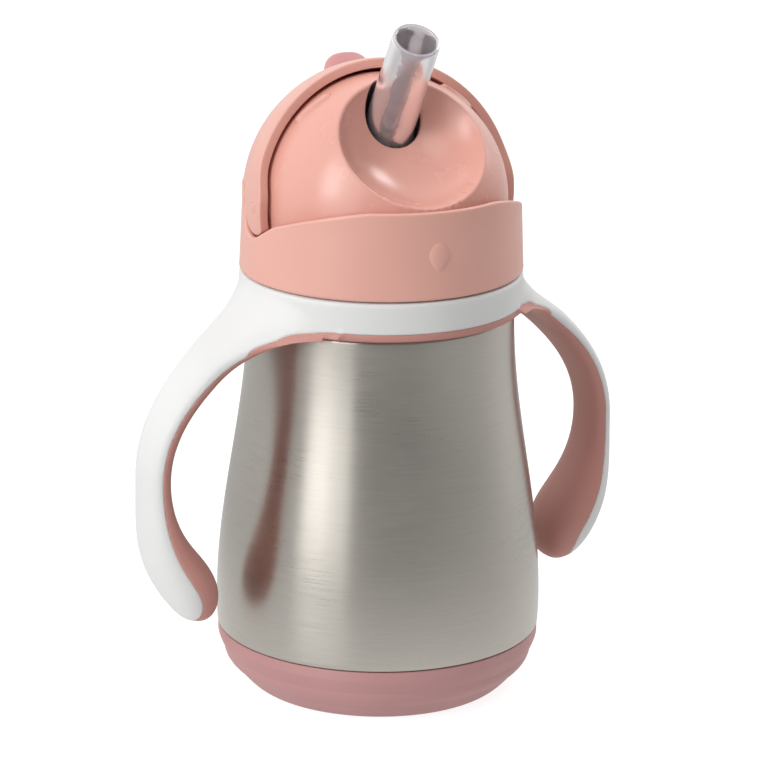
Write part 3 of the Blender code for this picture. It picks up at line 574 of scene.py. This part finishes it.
def parting_field(x, y, z):
    """Above zero on the white frame's side of the seam with the soft grip.

    The seam is a line along the arms, seen from the front. At the roots it follows the lower edge of the
    ring and of the fillets instead.
    """
    line = arm_line(300)
    lengths, normals = measured(line)
    total = lengths[-1]
    thick = between(ARM_THICKNESS, lengths / total, 0.55)
    inward = 0.15 * np.exp(-((lengths - SEAM_START) / 0.016) ** 2)
    seam = line + normals * ((0.1 - inward) * thick)[:, None]
    keep = lengths > SEAM_START
    seam = seam[keep]
    start = np.array([0.0300, PARTING_HEIGHT])
    join = bezier(start, start + (0.0075, 0), seam[0] - unit(seam[1] - seam[0]) * 0.0060, seam[0], 40)
    tail = seam[-1] + unit(seam[-1] - seam[-2]) * 0.02
    path = np.concatenate([join[:-1], seam, tail[None]])
    hug = smooth_step((z - RING_LOW + WEB_RADIUS) / WEB_RADIUS)
    straight = np.abs(x) + hug * (RING_RADIUS - np.sqrt(np.clip(RING_RADIUS**2 - y**2, 0, None)))
    query = np.stack([straight, z], 1)
    best = np.full(len(query), 1e9)
    signed = np.zeros(len(query))
    for a, b in zip(path[:-1], path[1:]):
        run = b - a
        gap = off_segment(query, a, b)
        away = np.hypot(gap[:, 0], gap[:, 1])
        side = run[0] * gap[:, 1] - run[1] * gap[:, 0]
        nearer = away < best
        best = np.where(nearer, away, best)
        signed = np.where(nearer, np.sign(side) * away, signed)
    inside_ring = straight < start[0]
    front = np.where(inside_ring, z - PARTING_HEIGHT, signed)
    web = (lengths > WEB_START) & (lengths < WEB_START + WEB_RADIUS)
    half_width = (between(ARM_WIDTH, lengths / total, 0.55) + web_at(lengths)[1])[web][::-1]
    heights = line[web][::-1, 1]
    edge = np.interp(np.abs(y), half_width, heights)
    rise = SEAM_RISE + SEAM_RUN_OUT * (smooth_step((z - heights[0]) / 0.008) - 1)
    side = np.minimum(z - edge - rise, np.maximum(front, z - PARTING_HEIGHT))
    beside = (np.abs(y) > half_width[0]) & (z > heights[0])
    return np.where(beside, side, front)


def split_mesh(mesh, values):
    """Cut a mesh where values at its points change sign, into two bmeshes, the half above zero first."""
    bm = bmesh.new()
    bm.from_mesh(mesh)
    layer = bm.verts.layers.float.new("side")
    for vert, value in zip(bm.verts, values):
        vert[layer] = 0.0 if abs(value) < 1e-6 else value
    crossing = [e for e in bm.edges if e.verts[0][layer] * e.verts[1][layer] < 0]
    for edge in crossing:
        a, b = edge.verts
        share = a[layer] / (a[layer] - b[layer])
        made = bmesh.utils.edge_split(edge, a, share)[1]
        made[layer] = 0.0
    for face in list(bm.faces):
        zero = [v for v in face.verts if v[layer] == 0.0]
        signs = {v[layer] > 0 for v in face.verts if v[layer] != 0.0}
        if len(zero) == 2 and len(signs) == 2:
            bmesh.utils.face_split(face, zero[0], zero[1])
    halves = []
    for above in (True, False):
        half = bm.copy()
        side = half.verts.layers.float["side"]
        gone = [f for f in half.faces if any((v[side] > 0) != above for v in f.verts if v[side] != 0.0)]
        bmesh.ops.delete(half, geom=gone, context="FACES")
        halves.append(half)
    bm.free()
    return halves


def groove(bm, depth):
    """Pull a half's open border a little below the surface, so that the seam shows as a fine line."""
    bm.normal_update()
    border = {v for e in bm.edges if len(e.link_faces) == 1 for v in e.verts}
    for vert in border:
        vert.co -= vert.normal * depth


def modified(made):
    """An object with its modifiers applied."""
    bpy.context.view_layer.update()
    return made.evaluated_get(bpy.context.evaluated_depsgraph_get())


def make_handles():
    sides = 288
    corners = [(RING_BORE, RING_LOW + 0.002, 0), (RING_BORE, RING_TOP, 0.0004),
               (RING_RADIUS, RING_TOP, 0.0009), (RING_RADIUS, RING_LOW, 0.0007),
               (RING_BORE, RING_LOW, 0.0004), (RING_BORE, RING_LOW + 0.001, 0)]
    ring = lathe("handle_ring", filleted(corners, 4), sides)
    arms = [make_arm("arm_right", 1), make_arm("arm_left", -1)]
    inside = RING_BORE + 0.0006
    bore = lathe("arm_bore", [(0, 0.08), (inside, 0.08), (inside, 0.125), (0, 0.125)], sides)
    for arm in arms:
        cut = arm.modifiers.new("bore", "BOOLEAN")
        cut.operation = "DIFFERENCE"
        cut.object = bore
    joined = bmesh.new()
    joined.from_mesh(ring.data)
    for arm in arms:
        joined.from_mesh(modified(arm).data)
    joined.to_mesh(ring.data)
    joined.free()
    remesh = ring.modifiers.new("even", "REMESH")
    remesh.mode = "VOXEL"
    remesh.voxel_size = VOXEL
    remesh.use_smooth_shade = True
    smooth = ring.modifiers.new("soften", "SMOOTH")
    smooth.factor = 0.5
    smooth.iterations = 14
    whole = bpy.data.meshes.new_from_object(modified(ring))
    for helper in (ring, bore, *arms):
        bpy.data.objects.remove(helper, do_unlink=True)
    points = np.empty(len(whole.vertices) * 3)
    whole.vertices.foreach_get("co", points)
    points = points.reshape(-1, 3)
    halves = split_mesh(whole, parting_field(*points.T))
    made = []
    for name, half in zip(("handle_white_frame", "handle_rose_grip"), halves):
        groove(half, SEAM_GROOVE)
        mesh = bpy.data.meshes.new(name)
        half.to_mesh(mesh)
        half.free()
        mesh.transform(Matrix.Rotation(HANDLE_TURN, 4, "Z"))
        mesh.shade_smooth()
        made.append(linked(name, mesh))
    return made


# ---- Lid skirt

def skirt_edge():
    """Half of the skirt's top edge from the front to the back, as (angle from the front, height)."""
    def on_side(y, rise):
        return math.degrees(math.acos(-y / SKIRT_TOP_RADIUS)), PIVOT[2] + rise

    front_angles = np.linspace(0, 73.5, 60)
    drop = np.where(front_angles > 28, 0.0071 * (np.clip(front_angles - 28, 0, None) / 48) ** 1.4, 0)
    front = np.stack([front_angles, SKIRT_TOP - drop], 1)
    tangent = 270 - math.degrees(NOTCH_LEAN)
    angles = np.radians(np.linspace(tangent, 360, 40))
    notch = np.array([on_side(NOTCH_RADIUS * math.cos(a), NOTCH_RADIUS * math.sin(a)) for a in angles])
    up = [on_side(NOTCH_RADIUS, r) for r in (0.0006, 0.0012)]
    rise = bezier(on_side(NOTCH_RADIUS, 0.0016), on_side(NOTCH_RADIUS + 0.0002, 0.0030),
                  on_side(0.0102, 0.0043), on_side(0.0150, 0.0043), 16)
    back_angles = np.linspace(rise[-1][0] + 2, 180, 40)
    back = np.stack([back_angles, np.full(40, SKIRT_TOP)], 1)
    return np.concatenate([front, notch, up, rise, back])


def skirt_radius(height):
    share = (height - SKIRT_LOW) / (SKIRT_TAPER_TOP - SKIRT_LOW)
    return SKIRT_LOW_RADIUS + (SKIRT_TOP_RADIUS - SKIRT_LOW_RADIUS) * np.clip(share, 0, 1)


def make_skirt():
    half = skirt_edge()
    scaled = half * (math.radians(1) * SKIRT_TOP_RADIUS, 1)
    scaled = resampled(scaled, 420)
    edge = np.concatenate([scaled, (scaled * (-1, 1))[-2:0:-1]])
    around = math.tau * SKIRT_TOP_RADIUS
    for _ in range(3):
        wrapped = edge[:, 0].copy()
        before, after = np.roll(wrapped, 1), np.roll(wrapped, -1)
        before -= np.round((before - wrapped) / around) * around
        after -= np.round((after - wrapped) / around) * around
        heights = edge[:, 1]
        edge = np.stack([wrapped / 2 + (before + after) / 4,
                         heights / 2 + (np.roll(heights, 1) + np.roll(heights, -1)) / 4], 1)
    count = len(edge)
    run = np.roll(edge, -1, axis=0) - np.roll(edge, 1, axis=0)
    run[:, 0] -= np.round(run[:, 0] / around) * around
    run = unit(run)
    inward = np.stack([run[:, 1], -run[:, 0]], 1)
    even = circle(count)
    even = np.where(even > math.pi, even - math.tau, even)

    lip, inner_lip = SKIRT_LIP, 0.0002
    rows = [around_z(SKIRT_BORE, even, SKIRT_LOW + 0.0004)]
    for back, off in lip_steps(lip, 6):
        rows.append(around_z(SKIRT_LOW_RADIUS - back, even, SKIRT_LOW + off))
    middle = 0.1160
    for height in np.linspace(SKIRT_LOW + lip, middle, 16)[1:]:
        rows.append(around_z(skirt_radius(height), even, height))
    offset = edge + inward * lip
    offset_angle = offset[:, 0] / SKIRT_TOP_RADIUS
    for share in np.linspace(0, 1, 26)[1:]:
        ease = smooth_step(share * 1.35)
        angle = even + (offset_angle - even) * ease
        height = middle + (offset[:, 1] - middle) * share
        rows.append(around_z(skirt_radius(height), angle, height))
    for back, off in lip_steps(lip, 6)[1:]:
        along, height = (edge + inward * back).T
        rows.append(around_z(skirt_radius(height) - off, along / SKIRT_TOP_RADIUS, height))
    for back, off in lip_steps(inner_lip, 4):
        along, height = (edge + inward * off).T
        rows.append(around_z(SKIRT_BORE + back, along / SKIRT_TOP_RADIUS, height))
    inner_edge = edge + inward * inner_lip
    for share in (0.5, 1.0):
        angle = inner_edge[:, 0] / SKIRT_TOP_RADIUS
        angle = angle + (even - angle) * share
        height = inner_edge[:, 1] + (middle - inner_edge[:, 1]) * share
        rows.append(around_z(SKIRT_BORE, angle, height))
    points = np.concatenate(rows)
    return mesh_object("lid_skirt_skin", points, grid_faces(len(rows), count, True, True), 40)


def make_drop_mark():
    """The small raised drop on the skirt's front: widest a little above its middle, pointed below."""
    tall, wide, lift = 0.0076, 0.0058, 0.0006
    sunk = 0.00006
    centre = 0.1184
    rings = np.linspace(0, 1, 26)
    angle = circle(96)
    outline_x = wide / 2 * np.sin(angle) * (1 - 0.34 * np.clip(-np.cos(angle), 0, 1) ** 1.2)
    outline_z = tall / 2 * np.cos(angle) * np.where(np.cos(angle) < 0, 1.0, 0.94)
    points = []
    for share in rings:
        x = outline_x * share
        z = centre + outline_z * share
        height = lift * (1 - share**3) - sunk
        radius = skirt_radius(z) + height
        points.append(around_z(radius, x / radius, z))
    faces = grid_faces(len(rings), len(angle), False, True)
    return mesh_object("skirt_drop_mark", np.concatenate(points), faces, 80)


# ---- Dome

def dome_parts(points):
    """The fields that bound the dome's solid, below zero in the ball and below zero outside the scoop."""
    ball = np.linalg.norm(points - PIVOT, axis=-1) - DOME_RADIUS
    along = (points - PIVOT) @ SCOOP_AXIS
    across = np.linalg.norm(points - PIVOT - along[..., None] * SCOOP_AXIS, axis=-1) / SCOOP_RADIUS
    deep = np.abs(SCOOP_DISTANCE - along) / SCOOP_RADIUS
    size = (across**SCOOP_POWER + deep**SCOOP_POWER) ** (1 / SCOOP_POWER)
    steep = np.hypot(across ** (SCOOP_POWER - 1), deep ** (SCOOP_POWER - 1)) / size ** (SCOOP_POWER - 1)
    scoop = (1 - size) * SCOOP_RADIUS / steep
    return ball, scoop


def dome_field(points):
    """Below zero inside the dome's solid, with the rim between the ball and the scoop rounded."""
    ball, scoop = dome_parts(points)
    close = np.clip(SCOOP_RIM - np.abs(ball - scoop), 0, None)
    return np.maximum(ball, scoop) + close**2 / (4 * SCOOP_RIM)


def past_rim(points):
    """Whether points on the dome's skin lie outside the scoop."""
    ball, scoop = dome_parts(points)
    return ball > scoop


def dome_hits(origin, rays):
    """Where rays from inside the dome leave it."""
    near = np.full(rays.shape[:-1], 0.002)
    far = np.full(rays.shape[:-1], 0.050)
    for _ in range(34):
        middle = (near + far) / 2
        inside = dome_field(origin + rays * middle[..., None]) < 0
        near = np.where(inside, middle, near)
        far = np.where(inside, far, middle)
    return near


def pad_bumps(points):
    """Lift of the two snap pads over the dome."""
    away = unit(points - PIVOT)
    lift = np.zeros(len(points))
    for side in (1, -1):
        a, b = [unit(np.array(p) * (side, 1, 1)) * DOME_RADIUS for p in PAD_ENDS]
        gap = np.linalg.norm(off_segment(away * DOME_RADIUS, a, b), axis=1)
        lift = np.maximum(lift, 0.0008 * (1 - smooth_step((gap - 0.0009) / 0.0005)))
    return points + away * lift[:, None]


def round_straw(count):
    """Unit vectors at right angles to the straw's axis."""
    first = np.array([1.0, 0.0, 0.0])
    turn = circle(count)[:, None]
    return np.cos(turn) * first + np.sin(turn) * np.cross(STRAW_AXIS, first)


def make_dome(rows=250, columns=360):
    """The dome's outside and the straw's well.

    The outside is a fan of rays about the straw's axis, so that its inner border is the bore's edge. Its
    rows crowd at the scoop's rim.
    """
    along = (PIVOT - STRAW_HOLE) @ STRAW_AXIS
    origin = STRAW_HOLE + STRAW_AXIS * along
    around = round_straw(columns)

    def rays(tilt):
        return np.cos(tilt)[..., None] * STRAW_AXIS + np.sin(tilt)[..., None] * around

    def surface(tilt):
        ray = rays(tilt)
        return origin + ray * dome_hits(origin, ray)[..., None]

    def tilt_where(too_far, low, high):
        low, high = np.full(columns, low), np.full(columns, high)
        for _ in range(30):
            middle = (low + high) / 2
            ray = rays(middle)
            beyond = too_far(ray, dome_hits(origin, ray), middle)
            high = np.where(beyond, middle, high)
            low = np.where(beyond, low, middle)
        return (low + high) / 2

    edge = BORE_EDGE
    near_tilt = tilt_where(lambda ray, far, tilt: far * np.sin(tilt) > BORE_RADIUS + edge, 0.05, 1.2)
    rim_tilt = tilt_where(lambda ray, far, tilt: far * np.sin(tilt) > BORE_RADIUS, 0.05, 1.2)
    low_tilt = tilt_where(lambda ray, far, tilt: origin[2] + ray[:, 2] * far < 0.1190, 0.9, 2.9)
    share = np.linspace(0, 1, 3 * rows)[:, None]
    tilts = near_tilt + (low_tilt - near_tilt) * share
    steps = np.linalg.norm(np.diff(surface(tilts), axis=0), axis=2)
    lengths = np.concatenate([np.zeros((1, columns)), np.cumsum(steps, axis=0)])
    crest_tilt = tilt_where(lambda ray, far, tilt: past_rim(origin + ray * far[:, None]), 0.05, 2.0)
    inner_share = 1 - (1 - np.linspace(0, 1, 2 * rows // 5)) ** 1.6
    outer_share = np.linspace(0, 1, rows - len(inner_share) + 1)[1:] ** 1.6
    spaced = []
    for j in range(columns):
        crest = np.interp(crest_tilt[j], tilts[:, j], lengths[:, j])
        wanted = np.concatenate([crest * inner_share, crest + (lengths[-1, j] - crest) * outer_share])
        spaced.append(np.interp(wanted, lengths[:, j], tilts[:, j]))
    tilts = np.stack(spaced, 1)
    skin = pad_bumps(surface(tilts).reshape(-1, 3)).reshape(rows, columns, 3)
    rim = surface(rim_tilt)
    under = rim - STRAW_AXIS * edge
    lines = []
    for t in np.linspace(0, 1, 6)[1:]:
        lines.append(skin[0] * (1 - t) ** 2 + rim * 2 * t * (1 - t) + under * t * t)
    lines.append(under - STRAW_AXIS * 0.0003)
    points = np.concatenate([skin[::-1].reshape(-1, 3), *lines])
    dome = mesh_object("lid_dome_skin", points, grid_faces(rows + len(lines), columns, False, True), 60)

    floor = -BORE_DEPTH
    depth = (under - STRAW_HOLE) @ STRAW_AXIS
    lines = [under + STRAW_AXIS * ((floor - depth) * t)[:, None] for t in np.linspace(0, 1, 12)]
    centre = STRAW_HOLE + STRAW_AXIS * floor
    lines.append(centre + (lines[-1] - centre) * 0.60)
    faces = grid_faces(len(lines), columns, False, True)
    return dome, mesh_object("straw_socket_skin", np.concatenate(lines), faces, 60)


def make_collar():
    """The threaded collar and the shoulder under the dome, inside the skirt."""
    eye, wall, bore, outside = 0.0275, 0.0296, 0.0316, 0.0332
    ceiling, low = 0.1168, 0.1082
    outline = filleted([(eye, ceiling, 0), (eye, 0.1182, 0.0004),
                        (wall, 0.1182, 0.0004), (wall, 0.1220, 0),
                        (0.0310, 0.1220, 0), (DOME_RADIUS, 0.1180, 0.0004),
                        (outside, 0.1178, 0.0005), (outside, low, 0.0003),
                        (bore, low, 0.0003), (bore, ceiling, 0), (0.0300, ceiling, 0)])
    return lathe("lid_collar", outline)


# ---- Hood

def hood_edges(count):
    """The hood's front and back edges from the ear's tip to the crown, seen from the side.

    Points are (y, height) from the pivot.
    """
    def ball_reach(start):
        """Distances from the pivot, from a point's to the ball's outline, evenly round the ball."""
        first = np.arcsin(np.linalg.norm(start) / HOOD_RADIUS)
        return HOOD_RADIUS * np.sin(np.linspace(first, math.pi / 2, 90))

    ear_top = 0.0020
    wrap = np.radians(np.linspace(270, 180 + math.degrees(math.acos(-EAR_FRONT / EAR_RADIUS)), 24))
    front_ear = EAR_RADIUS * np.stack([np.cos(wrap), np.sin(wrap)], 1)
    blend_top = np.array([ARCH_FRONT + ARCH_LEAN * 0.013, 0.013])
    blend_pull = blend_top - (ARCH_LEAN * 0.005, 0.005)
    rise = bezier((EAR_FRONT, ear_top), (EAR_FRONT, 0.0060), blend_pull, blend_top, 20)
    reach = ball_reach(blend_top)
    slope = 1 + ARCH_LEAN**2
    root = np.sqrt(ARCH_FRONT**2 * ARCH_LEAN**2 - slope * (ARCH_FRONT**2 - reach**2))
    height = (root - ARCH_FRONT * ARCH_LEAN) / slope
    arch = np.stack([ARCH_FRONT + ARCH_LEAN * height, height], 1)
    front = np.concatenate([front_ear, rise[1:], arch[1:]])

    wrap = np.radians(np.linspace(-90, -8, 24))
    back_ear = EAR_RADIUS * np.stack([np.cos(wrap), np.sin(wrap)], 1)
    corner_end = 0.0100
    corner = bezier((EAR_RADIUS, 0.0006), (EAR_RADIUS, 0.0032),
                    (0.0076, HOOD_BACK_EDGE), (corner_end, HOOD_BACK_EDGE), 20)
    reach = ball_reach((corner_end, HOOD_BACK_EDGE))
    level = np.stack([np.sqrt(reach**2 - HOOD_BACK_EDGE**2), np.full(90, HOOD_BACK_EDGE)], 1)
    back = np.concatenate([back_ear, corner[1:], level[1:]])

    def spaced(line):
        """Even spacing over the ball, where the side view squeezes points near its silhouette."""
        height = np.sqrt(np.clip(HOOD_RADIUS**2 - (line**2).sum(1), 0, None))
        solid = np.column_stack([line, height])
        return resampled(solid, count)[:, :2]

    return spaced(front), spaced(back)


def on_ball(flat, radius, side):
    """Points over the hood from a side view that was drawn at the outer radius."""
    scale = radius / HOOD_RADIUS
    flat = flat * scale
    x = np.sqrt(np.clip(radius**2 - (flat**2).sum(-1), 0, None))
    return np.concatenate([side * x[..., None], flat], -1)


def make_hood(count=150, columns=110):
    front, back = hood_edges(count)
    inner = HOOD_RADIUS - HOOD_WALL

    def side_grid(first, last):
        """Side-view points between two edges, straight near the ear and round the ball near the crown."""
        u = np.linspace(0, 1, columns)[None, :, None]
        chord = first[:, None] * (1 - u) + last[:, None] * u
        reach = [np.linalg.norm(e, axis=1)[:, None] for e in (first, last)]
        turn = [np.unwrap(np.arctan2(e[:, 1], e[:, 0]))[:, None] for e in (first, last)]
        turn[0] = np.where(turn[0] < 0, turn[0] + math.tau, turn[0])
        radius, angle = [a * (1 - u[..., 0]) + b * u[..., 0] for a, b in (reach, turn)]
        polar = np.stack([radius * np.cos(angle), radius * np.sin(angle)], 2)
        weight = smooth_step((np.linspace(0, 1, len(first)) - 0.30) / 0.35)[:, None, None]
        return chord * (1 - weight) + polar * weight

    def pulled_in(edge, sign, amount):
        """An edge moved into the hood's surface, measured over the ball."""
        solid = on_ball(edge, HOOD_RADIUS, 1)
        run = unit(np.gradient(solid, axis=0))
        side = unit(np.cross(run, solid)) * sign
        moved = unit(solid + side * amount) * HOOD_RADIUS
        return moved[:, 1:]

    steps = [(far, HOOD_RADIUS - near) for far, near in lip_steps(HOOD_LIP, 6)]
    steps += [(near, inner + far) for far, near in lip_steps(HOOD_INNER_LIP, 5)]
    loops = [(pulled_in(front, 1, amount), pulled_in(back, -1, amount), radius) for amount, radius in steps]

    def whole_grid(first, last, radius):
        right, left = [on_ball(side_grid(first, last), radius, side) for side in (1, -1)]
        return np.concatenate([right, left[-2::-1]]) + PIVOT

    outer_grid, inner_grid = whole_grid(*loops[0]), whole_grid(*loops[-1])

    def loop_points(first, last, radius):
        right, left = [[on_ball(e, radius, side) for e in (first, last)] for side in (1, -1)]
        forward = np.concatenate([right[0], left[0][-2::-1]])
        backward = np.concatenate([left[1], right[1][-2::-1]])
        return np.concatenate([forward, backward[1:-1]]) + PIVOT

    rim = [loop_points(*loop) for loop in loops]
    size = len(rim[0])
    points = [outer_grid.reshape(-1, 3), inner_grid.reshape(-1, 3), np.concatenate(rim)]
    height, width = outer_grid.shape[:2]
    faces = (grid_faces(height, width) + grid_faces(height, width, start=height * width)
             + grid_faces(len(rim), size, False, True, start=2 * height * width))
    return mesh_object("hood_skin", np.concatenate(points), faces, 40)


def make_ear_dot(name, side):
    """The faint round mark over the hinge pin on each ear: a low button in a shallow ring."""
    outline = filleted([(0, 0.00022, 0), (0.0007, 0.00022, 0.0002), (0.0009, 0.00004, 0.0001),
                        (0.0012, 0.00004, 0.0001), (0.00135, 0.00012, 0.00008), (0.0015, -0.0004, 0)], 4)
    dot = lathe(name, outline, 64, close=False)
    out = Vector((side, -0.0004 / HOOD_RADIUS, 0.0007 / HOOD_RADIUS)).normalized()
    place = Matrix.Translation(Vector(PIVOT) + out * HOOD_RADIUS)
    dot.data.transform(place @ Vector((0, 0, 1)).rotation_difference(out).to_matrix().to_4x4())
    return dot


def make_tab():
    """The thumb tab: a rounded block that stands out of the hood behind its crown."""
    turn = np.linspace(0, math.pi / 2, 28)
    around = circle(96)
    points = []
    for a in turn:
        flat = math.cos(a) ** 0.55
        height = TAB_RISE * math.sin(a) ** 0.75
        flare = 1 + 0.22 * math.exp(-height / 0.0009)
        x = TAB_HALF[0] * flat * signed_power(np.cos(around), 0.75) * flare
        y = TAB_HALF[1] * flat * signed_power(np.sin(around), 0.85) * flare
        points.append(np.stack([x, y, np.full_like(x, height)], 1))
    points = np.concatenate(points)
    base = np.sqrt(np.clip((HOOD_RADIUS - 0.0001) ** 2 - points[:, 0] ** 2 - points[:, 1] ** 2, 0, None))
    points[:, 2] += base
    back = Matrix.Rotation(-TAB_ANGLE, 3, "X")
    points = points @ np.array(back).T + PIVOT
    return mesh_object("hood_thumb_tab", points, grid_faces(len(turn), len(around), False, True), 60)


# ---- Straw

def make_straw(sides=96):
    """A ring turned about the straw's axis from (radius, distance from the hole, fillet) corners."""
    top, foot, bore, low = 0.0281, 0.0062, 0.0050, -0.0118
    outside = [(bore, low, 0), (0.0052, -0.0075, 0.0006), (0.0068, -0.0052, 0.0010),
               (0.0069, -0.0030, 0.0010), (foot + 0.0001, -0.0008, 0.0010), (foot, 0.0040, 0.001)]
    lip = [(0.0059, top - 0.0009, 0.0007), (0.0056, top, 0.0005), (bore, top, 0.0004),
           (0.00475, top - 0.0010, 0.0006)]
    inside = [(bore, 0.0060, 0.001), (bore, 0.0036, 0.0006), (0.0043, 0.0030, 0.0006),
              (0.0043, 0.0018, 0.0006), (0.0051, 0.0010, 0.0006), (bore, -0.0030, 0.001),
              (0.0033, -0.0064, 0.0008), (0.0032, low, 0)]
    outline = filleted(outside + lip + inside, 5)
    dense = []
    for a, b in zip(outline, np.roll(outline, -1, axis=0)):
        steps = max(1, int(np.linalg.norm(b - a) / 0.0006))
        dense += [a + (b - a) * k / steps for k in range(steps)]
    radius, along = np.array(dense).T[..., None, None]
    points = STRAW_HOLE + along * STRAW_AXIS + radius * round_straw(sides)
    faces = grid_faces(len(dense), sides, True, True)
    return mesh_object("silicone_straw", points.reshape(-1, 3), faces, 60)


# ---- Stage

def direction(azimuth, elevation):
    """A unit vector from angles round from the front and up."""
    flat = math.cos(elevation)
    return Vector((math.sin(azimuth) * flat, -math.cos(azimuth) * flat, math.sin(elevation)))


def make_camera():
    back = direction(CAMERA_AZIMUTH, CAMERA_ELEVATION)
    right = Vector((math.cos(CAMERA_AZIMUTH), math.sin(CAMERA_AZIMUTH), 0))
    up = back.cross(right)
    tilted_right = right * math.cos(CAMERA_ROLL) + up * math.sin(CAMERA_ROLL)
    tilted_up = up * math.cos(CAMERA_ROLL) - right * math.sin(CAMERA_ROLL)
    data = bpy.data.cameras.new("camera")
    data.lens = CAMERA_LENS
    data.sensor_width = 36  # mm, as is the lens
    data.clip_start = 0.05
    data.clip_end = 20
    camera = linked("camera", data)
    camera.matrix_world = Matrix((tilted_right, tilted_up, back)).transposed().to_4x4()
    camera.location = CAMERA_TARGET + back * CAMERA_DISTANCE
    bpy.context.scene.camera = camera


def area_light(name, azimuth, elevation, distance, size, radiance, colour=(1, 1, 1)):
    """A softbox aimed at the cup, placed by its direction. Radiance is how bright its face looks."""
    out = direction(math.radians(azimuth), math.radians(elevation))
    data = bpy.data.lights.new(name, "AREA")
    data.shape = "RECTANGLE"
    data.size, data.size_y = size
    data.energy = radiance * math.pi * size[0] * size[1]
    data.color = colour
    light = linked(name, data)
    light.location = LIGHT_TARGET + out * distance
    light.rotation_euler = out.to_track_quat("Z", "Y").to_euler()


def make_world():
    """White behind the cup and dim in front, for the steel's dark band. The camera sees plain white."""
    room = Look(bpy.data.worlds.new("studio"), "Background", "Generated", Color=(1, 1, 1, 1))
    depth, height = room.axes()[1:]
    walls = room.spread(depth, FRONT_DIMNESS, 1, -0.55, 0.45, "SMOOTHSTEP")
    ceiling = room.spread(height, 0, OVERHEAD, 0.25, 0.80, "SMOOTHSTEP")
    room.set("Strength", room.maths("MAXIMUM", walls, ceiling, room.seen()))
    bpy.context.scene.world = room.owner


def make_stage():
    mesh = bpy.data.meshes.new("floor")
    reach = 6.0
    corners = [(-reach, -reach, 0), (reach, -reach, 0), (reach, reach, 0), (-reach, reach, 0)]
    mesh.from_pydata(corners, [], [(0, 1, 2, 3)])
    floor = linked("floor", mesh)
    pale = Look(bpy.data.materials.new("floor_pale"), Roughness=0.9, Specular_IOR_Level=0.1,
                Emission_Color=(1, 1, 1, 1))
    away = pale.node("ShaderNodeVectorMath", operation="LENGTH")
    pale.join(pale.place, away.inputs[0])
    right, behind = pale.axes()[:2]
    near = pale.spread(away.outputs["Value"], FLOOR_NEAR, FLOOR_FAR, 0.08, 0.26)
    beside = pale.spread(right, 0, FLOOR_SIDE, 0.05, 0.35)
    back = pale.spread(behind, 0, FLOOR_BACK, 0.0, 0.6)
    glow = pale.spread(pale.seen(), 0, FLOOR_GLOW, 0, 1)
    pale.set("Emission Strength", pale.maths("MAXIMUM", near, beside, back, glow))
    darker, lighter = [(grey, grey, grey) for grey in (0.29, 0.31)]
    pale.set("Base Color", pale.ramp(pale.noise(3.0), (0.3, darker), (0.7, lighter)))
    mesh.materials.append(pale.owner)
    bpy.context.scene.view_settings.view_transform = "Standard"
    area_light("key_left", -64, 22, 1.0, (0.70, 1.0), 1.8)
    area_light("rim_right", 100, 34, 1.0, (0.30, 0.9), 1.7)
    area_light("front_high", -14, 62, 1.0, (0.60, 0.40), 1.8)
    area_light("spark_left", -72, 24, 1.0, (0.30, 0.45), 5.0)
    area_light("spark_scoop", 100, 50, 1.0, (0.22, 0.22), 7.0)


def main():
    nodes = frame["nodes"]
    finish_piece(make_outer_shell(), steel_look, "bottle", ["outer_shell"])
    finish_piece(make_boot(), boot_look, "bottle", ["base_boot"])
    white_frame, grip = make_handles()
    finish_piece(white_frame, white_look, "handles", ["handle_frame"])
    finish_piece(grip, grip_look, "handles", ["handle_soft_grip"])
    finish_piece(make_skirt(), satin_look, "lid", ["lid_skirt"])
    finish_piece(make_drop_mark(), satin_look, "lid")
    dome, well = make_dome()
    finish_piece(dome, gloss_look, "lid", ["lid_dome"])
    # the socket inside the hole wears the dark painted shade
    finish_piece(well, socket_painted_shade_look, "lid")
    finish_piece(make_collar(), gloss_look, "lid")
    finish_piece(make_hood(), satin_look, "hood", ["hood_shell"])
    for name, side in (("ear_dot_left", -1), ("ear_dot_right", 1)):
        finish_piece(make_ear_dot(name, side), satin_look, "hood")
    finish_piece(make_tab(), tab_look, "hood", ["thumb_tab"])
    straw_nodes = ["straw_stem", "straw_mouthpiece"]
    straw = finish_piece(make_straw(), straw_look, None, straw_nodes)
    bend = STRAW_HOLE + STRAW_AXIS * STRAW_BEND
    reach = STRAW_AXIS * STRAW_BLEND
    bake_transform(straw, "lid", "straw_tip", tuple(bend - reach), tuple(bend + reach))

    hidden = ((polished_look, "inner_vessel base_cup getter_cup weight_slug"),
              (inner_silicone_look, "lid_gasket vent_valve straw_hose"),
              (natural_look, "hood_pin_left hood_pin_right straw_elbow weight_cap weight_base"))
    for look, names in hidden:
        for name in names.split():
            node = nodes[name]
            for slot in node.material_slots:
                slot.material = look
            if not node.material_slots:
                node.data.materials.append(look)

    make_camera()
    make_world()
    make_stage()


main()
